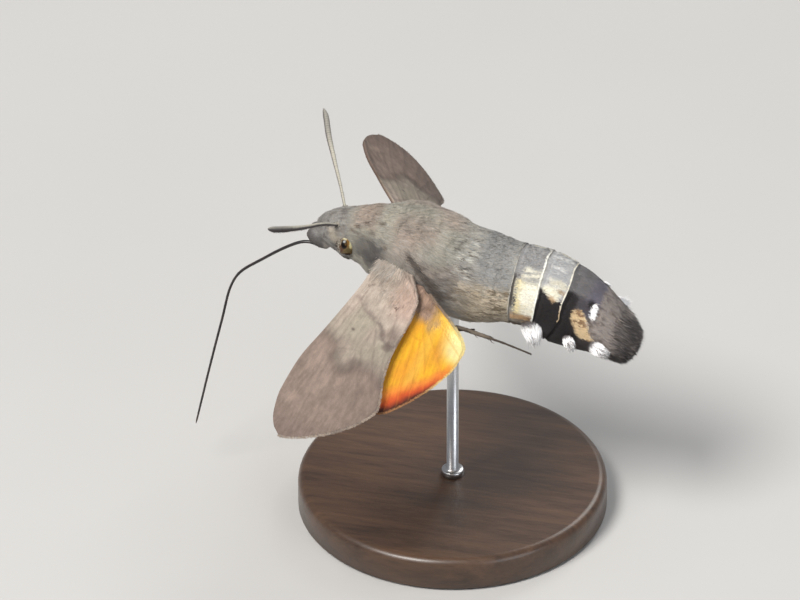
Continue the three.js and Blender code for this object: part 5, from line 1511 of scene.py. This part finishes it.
def wing_fringe(which, kind, lead, trail, s0, s1, drop):
    """Scales along the outer and rear edges, hair on the base, and on the fore wing long hair over its root."""
    rng = np.random.default_rng(hash_name(kind + which))
    w, cdir, up, root = wing_axes(which)
    coat, free = Coat(soft=0.85), Coat(soft=None, flat=True)  # on the wing, and free of it
    # edge from the tip round the rear edge to the root
    ss = np.linspace(s0 + 0.8, s1, 500)
    edge = np.stack([ss, trail(ss)], -1)
    tip = np.stack([np.full(30, s1), np.linspace(trail(s1), lead(s1), 30)], -1)
    line = np.vstack([edge, tip[1:]])
    seg = np.concatenate([[0], np.cumsum(np.linalg.norm(np.diff(line, axis=0), axis=1))])
    n = int(3200 * max(DENSITY, 0.6))
    at = np.sort(rng.random(n)) * seg[-1]
    px, py = np.interp(at, seg, line[:, 0]), np.interp(at, seg, line[:, 1])
    tx = np.interp(at, seg, np.gradient(line[:, 0], seg + np.arange(len(seg)) * 1e-9))
    ty = np.interp(at, seg, np.gradient(line[:, 1], seg + np.arange(len(seg)) * 1e-9))
    out = np.stack([ty, -tx], -1)
    mid = np.array([s1 * 0.5, 3.0 if kind == "forewing" else 6.5])
    sign = np.sign(((np.stack([px, py], -1) - mid) * out).sum(-1))
    out = unit(out * np.where(sign == 0, 1, sign)[:, None] + np.array([0.35, 0.0]))
    inward = rng.uniform(0.0, 0.12, n)
    P = wing_point(which, px - out[:, 0] * inward, py - out[:, 1] * inward, -drop + rng.uniform(-0.03, 0.03, n))
    D = out[:, :1] * w + out[:, 1:] * cdir
    N = np.broadcast_to(up, P.shape)
    if kind == "forewing":
        c = mix(np.broadcast_to(rgb(176, 160, 146), P.shape), rgb(140, 125, 114), smooth(0.1, 0.7, noise(np.stack([at, at * 0, at * 0], -1), 0.7, 71)) * 0.7)
        ln = 0.15 + 0.1 * smooth(5, 12, px)
    else:
        c = mix(np.broadcast_to(rgb(244, 208, 130), P.shape), rgb(252, 232, 160), 1 - smooth(3, 5, px))
        c = mix(c, rgb(150, 96, 66), smooth(6.5, 9.5, px) * 0.75)
        c = mix(c, rgb(164, 140, 120), 1 - smooth(0.9, 2.4, px))
        ln = 0.15 + 0.12 * (1 - smooth(2.5, 5, px))
    uv = np.stack([0.02 + 0.96 * at / seg[-1], np.full(n, 0.1) + 0.1 * rng.random(n)], -1)
    free.add(P, N, D, ln, 0.04, 0.0, gain(c, WING_GAIN_WITH_FAR_SHADE[which] * 1.1), uv, rng, fine=False, blunt=0.5, spread=6, sink=0.0, dark=0.92, thick=0.3)

    # hair over the base of the wing, lying along it
    if kind == "forewing":
        n = int(4800 * DENSITY)
        s = -0.9 + 4.1 * rng.beta(1.0, 1.9, n)
        q = rng.uniform(0.02, 0.98, n) * (0.6 + 0.4 * smooth(-0.9, 0.6, s))
        spread = 9
        ln = 0.75 - 0.08 * s
    else:
        n = int(3600 * DENSITY)
        s = -0.3 + 3.2 * rng.beta(1.0, 1.8, n)
        q = rng.uniform(0.14, 0.98, n)
        spread = 8
        ln = 0.85 - 0.14 * s
    c0 = lead(s) + (trail(s) - lead(s)) * q
    P = wing_point(which, s, c0, -drop + 0.075 - 0.06 * smooth(0.3, 2.3, s))
    fan = (c0 - (2.0 if kind == "forewing" else 5.2)) * (0.1 if kind == "forewing" else 0.17)
    D = unit(w + cdir * fan[:, None])
    vein = np.full(s.shape, 9.0)
    if kind == "forewing":
        col = fore_colour(s, c0, vein, True)
        col = mix(col, rgb(154, 148, 136), (1 - smooth(-0.8, 1.2, s)) * 0.5)
        ridge = band(c0, 2.6, 4.3, 0.5) * (1 - smooth(2.5, 4.0, s))
        col = mix(col, rgb(196, 170, 154), ridge * 0.6)
    else:
        col = hind_colour(s + 0.55, c0 + 0.1 * (c0 - 5.2), vein, True, lead(s), trail(s))
        ridge = 0 * s
    uv = np.stack([0.02 + 0.96 * (s - s.min()) / (s.max() - s.min()), 0.3 + 0.68 * q], -1)
    # the hair on the wing's base gets the painted light of the wing's root as well
    coat.add(P, np.broadcast_to(up, P.shape), D, ln + 0.35 * ridge, 0.06, 4 * (1 - smooth(0.3, 2.0, s)) + 4 * ridge, gain(col, WING_GAIN_WITH_FAR_SHADE[which] * 1.42), uv, rng, spread=spread, sink=0.0)
    if kind == "forewing":
        n = int(1700 * DENSITY)
        s = rng.uniform(-1.8, 0.3, n)
        q = rng.random(n)
        c0 = 0.05 + (1.25 + 0.98 * (s + 1.8)) * q
        P = wing_point(which, s, c0, 0.1 + 0.25 * (1 - (2 * q - 1) ** 2) * rng.random(n))
        D = unit(w + cdir * (0.3 * (q - 0.3))[:, None])
        col = mix(np.broadcast_to(rgb(164, 155, 145), P.shape), rgb(196, 182, 168), smooth(0.1, 0.5, noise(np.stack([c0, c0 * 0, c0 * 0], -1), 0.35, 73)))
        col = mix(col, rgb(176, 152, 138), smooth(1.8, 3.0, c0) * 0.6)
        ln = 1.2 + 0.7 * rng.random(n)
        uv = np.stack([0.02 + 0.14 * (s + 1.8), 0.02 + 0.16 * q], -1)
        # the long hair over the root is brightened further, a painted light against the body's shade there
        free.add(P, np.broadcast_to(up, P.shape), D, ln, 0.055, 0.0, gain(col, WING_GAIN_WITH_FAR_SHADE[which] * 1.95), uv, rng, spread=8, sink=0.0, wave=0.08)
    coat.write(f"{kind}_{which}_scales", COAT_MAT, kind)
    free.write(f"{kind}_{which}_fringe", COAT_MAT, kind)


# ---------------------------------------------------------------- stand, floor, light and camera
def lathe(profile, sides=160):
    prof = np.array(profile, float)
    f = np.arange(sides) * 2 * np.pi / sides
    r, z = prof[:, 0], prof[:, 1]
    P = np.stack([r[:, None] * np.cos(f), r[:, None] * np.sin(f), np.repeat(z[:, None], sides, 1)], -1)
    n = len(prof)
    idx = np.arange(n * sides).reshape(n, sides)
    nxt = np.roll(idx, -1, axis=1)
    quads = np.stack([idx[:-1], nxt[:-1], nxt[1:], idx[1:]], -1).reshape(-1, 4)
    verts = np.vstack([P.reshape(-1, 3), [0, 0, z[0]], [0, 0, z[-1]]])
    a, b = n * sides, n * sides + 1
    caps = np.concatenate([np.stack([np.full(sides, a), nxt[0], idx[0]], -1), np.stack([np.full(sides, b), idx[-1], nxt[-1]], -1)])
    return verts, quads, caps


def bevel(cx, cz, r, a0, a1, k=7):
    return [(cx + r * math.cos(math.radians(a)), cz + r * math.sin(math.radians(a))) for a in np.linspace(a0, a1, k)]


def wood_material():
    m, nt, b = new_material("dark_wood")
    co = node(nt, "ShaderNodeTexCoord")
    mp = node(nt, "ShaderNodeMapping")
    mp.inputs["Scale"].default_value = (1.0, 9.0, 9.0)
    nt.links.new(co.outputs["Object"], mp.inputs[0])
    big = node(nt, "ShaderNodeTexNoise", Scale=60.0, Detail=4.0, Distortion=1.2)
    fine = node(nt, "ShaderNodeTexNoise", Scale=420.0, Detail=5.0, Roughness=0.7)
    nt.links.new(mp.outputs[0], big.inputs["Vector"])
    nt.links.new(mp.outputs[0], fine.inputs["Vector"])
    ramp = node(nt, "ShaderNodeValToRGB")
    ramp.color_ramp.elements[0].position = 0.3
    ramp.color_ramp.elements[0].color = (0.028, 0.015, 0.009, 1)
    ramp.color_ramp.elements[1].position = 0.72
    ramp.color_ramp.elements[1].color = (0.105, 0.055, 0.03, 1)
    mixn = node(nt, "ShaderNodeMix", data_type="FLOAT")
    mixn.inputs[0].default_value = 0.45
    nt.links.new(big.outputs[0], mixn.inputs[2])
    nt.links.new(fine.outputs[0], mixn.inputs[3])
    nt.links.new(mixn.outputs[0], ramp.inputs[0])
    nt.links.new(ramp.outputs[0], b.inputs["Base Color"])
    rr = node(nt, "ShaderNodeMapRange")
    rr.inputs["To Min"].default_value = 0.3
    rr.inputs["To Max"].default_value = 0.5
    nt.links.new(fine.outputs[0], rr.inputs[0])
    nt.links.new(rr.outputs[0], b.inputs["Roughness"])
    bp = node(nt, "ShaderNodeBump", Strength=0.15, Distance=0.0001)
    nt.links.new(fine.outputs[0], bp.inputs["Height"])
    nt.links.new(bp.outputs[0], b.inputs["Normal"])
    b.inputs["Coat Weight"].default_value = 0.25
    b.inputs["Coat Roughness"].default_value = 0.25
    return m


def steel_material():
    m, nt, b = new_material("brushed_steel")
    co = node(nt, "ShaderNodeTexCoord")
    mp = node(nt, "ShaderNodeMapping")
    mp.inputs["Scale"].default_value = (1, 1, 25)
    nt.links.new(co.outputs["Object"], mp.inputs[0])
    tex = node(nt, "ShaderNodeTexNoise", Scale=900.0, Detail=3.0)
    nt.links.new(mp.outputs[0], tex.inputs["Vector"])
    ramp = node(nt, "ShaderNodeValToRGB")
    ramp.color_ramp.elements[0].color = (0.42, 0.42, 0.43, 1)
    ramp.color_ramp.elements[1].color = (0.68, 0.68, 0.68, 1)
    nt.links.new(tex.outputs[0], ramp.inputs[0])
    nt.links.new(ramp.outputs[0], b.inputs["Base Color"])
    rr = node(nt, "ShaderNodeMapRange")
    rr.inputs["To Min"].default_value = 0.22
    rr.inputs["To Max"].default_value = 0.42
    nt.links.new(tex.outputs[0], rr.inputs[0])
    nt.links.new(rr.outputs[0], b.inputs["Roughness"])
    b.inputs["Metallic"].default_value = 1.0
    bp = node(nt, "ShaderNodeBump", Strength=0.1, Distance=0.00002)
    nt.links.new(tex.outputs[0], bp.inputs["Height"])
    nt.links.new(bp.outputs[0], b.inputs["Normal"])
    return m


def make_stand():
    wood, steel = wood_material(), steel_material()
    prof = [(BASE_R - 0.3, 0)] + [(BASE_R, 0.3)] + bevel(BASE_R - 0.7, BASE_H - 0.7, 0.7, 0, 90)
    v, q, c = lathe(prof, 200)
    r = np.hypot(v[:, 0], v[:, 1])
    uv = np.stack([0.5 + v[:, 0] / (2.4 * BASE_R), 0.5 + v[:, 1] / (2.4 * BASE_R)], -1)
    o = build_mesh("stand_base_wood", v - PLACE, c, None, None, True, q)
    for p in o.data.polygons:
        p.use_smooth = len(p.vertices) == 4 and abs(p.normal.z) < 0.999
    finish_piece(o, wood, "stand_base", "stand_base")
    top = 25 + float(body_z(3.7)) - float(body_down(3.7)) + 0.9
    prof = [(0.95, BASE_H - 0.02), (0.95, BASE_H + 0.35)] + bevel(0.8, BASE_H + 0.4, 0.15, 0, 80, 5) + [(ROD_R, BASE_H + 0.62), (ROD_R, top - 1.1), (ROD_R * 0.8, top)]
    v, q, c = lathe(prof, 64)
    o = build_mesh("stand_rod_steel", v - PLACE, c, None, None, True, q)
    finish_piece(o, steel, "stand_rod", "stand_rod")


def floor_and_light():
    me = bpy.data.meshes.new("floor")
    r = 3.0
    me.from_pydata([(-r, -r, 0), (r, -r, 0), (r, r, 0), (-r, r, 0)], [], [(0, 1, 2, 3)])
    floor = bpy.data.objects.new("floor", me)
    bpy.context.scene.collection.objects.link(floor)
    m, nt, b = new_material("pale_floor")
    co = node(nt, "ShaderNodeTexCoord")
    tex = node(nt, "ShaderNodeTexNoise", Scale=30.0, Detail=2.0)
    nt.links.new(co.outputs["Object"], tex.inputs["Vector"])
    ramp = node(nt, "ShaderNodeValToRGB")
    ramp.color_ramp.elements[0].color = (0.47, 0.466, 0.455, 1)
    ramp.color_ramp.elements[1].color = (0.5, 0.496, 0.485, 1)
    nt.links.new(tex.outputs[0], ramp.inputs[0])
    nt.links.new(ramp.outputs[0], b.inputs["Base Color"])
    b.inputs["Roughness"].default_value = 0.9
    b.inputs["Specular IOR Level"].default_value = 0.1
    me.materials.append(m)

    world = bpy.data.worlds.new("soft")
    bpy.context.scene.world = world
    world.use_nodes = True
    bg = world.node_tree.nodes["Background"]
    bg.inputs[0].default_value = (0.9, 0.93, 1.0, 1)
    bg.inputs[1].default_value = 0.3

    def area(name, direction, distance, size, power, colour):
        d = Vector(direction).normalized()
        light = bpy.data.lights.new(name, "AREA")
        light.shape = "DISK"
        light.size = size
        light.energy = power
        light.color = colour
        ob = bpy.data.objects.new(name, light)
        bpy.context.scene.collection.objects.link(ob)
        aim = Vector((0, 0, 0.02))
        ob.location = aim + d * distance
        ob.rotation_euler = d.to_track_quat("Z", "Y").to_euler()
        return ob
    area("key", (-0.42, -0.75, 1.15), 0.7, 0.3, 6.3, (1.0, 0.97, 0.93))
    area("fill", (1.1, -0.7, 0.45), 0.8, 0.5, 1.8, (0.93, 0.96, 1.0))
    area("rim", (0.3, 1.0, 0.9), 0.8, 0.4, 2.2, (1.0, 0.99, 0.96))


def make_camera():
    az, el = math.radians(14), math.radians(34)
    back = Vector((0.2006, -0.8044, 0.5592)).normalized()
    right = Vector((0.9703, 0.2419, 0.0)).normalized()
    up = back.cross(right).normalized()
    right = up.cross(back).normalized()
    scale = 12.0  # pixels to the millimetre at the thorax, in a frame of 800 by 600
    mid = Vector(PLACE) - right * (10 / scale) - up * (50 / scale)
    distance = 1.2
    cam = bpy.data.cameras.new("camera")
    ob = bpy.data.objects.new("camera", cam)
    bpy.context.scene.collection.objects.link(ob)
    ob.matrix_world = Matrix.Translation(mid * MM + back * distance) @ Matrix((right, up, back)).transposed().to_4x4()
    cam.sensor_width = 36.0
    cam.lens = 36.0 * distance / (800 / scale * MM)
    cam.clip_start = 0.05
    cam.clip_end = 20
    bpy.context.scene.camera = ob


make_camera()
floor_and_light()
make_stand()
make_skin()
make_coats()
for which, side in (("left", -1), ("right", 1)):
    make_eye(which, side)
    make_feeler(which, side)
    make_wing(which, "forewing")
    make_wing(which, "hindwing")
    for pair in LEGS:
        make_leg(pair, which, side)
make_tongue()
bpy.context.scene.view_settings.view_transform = "Standard"

bpy.context.view_layer.update()
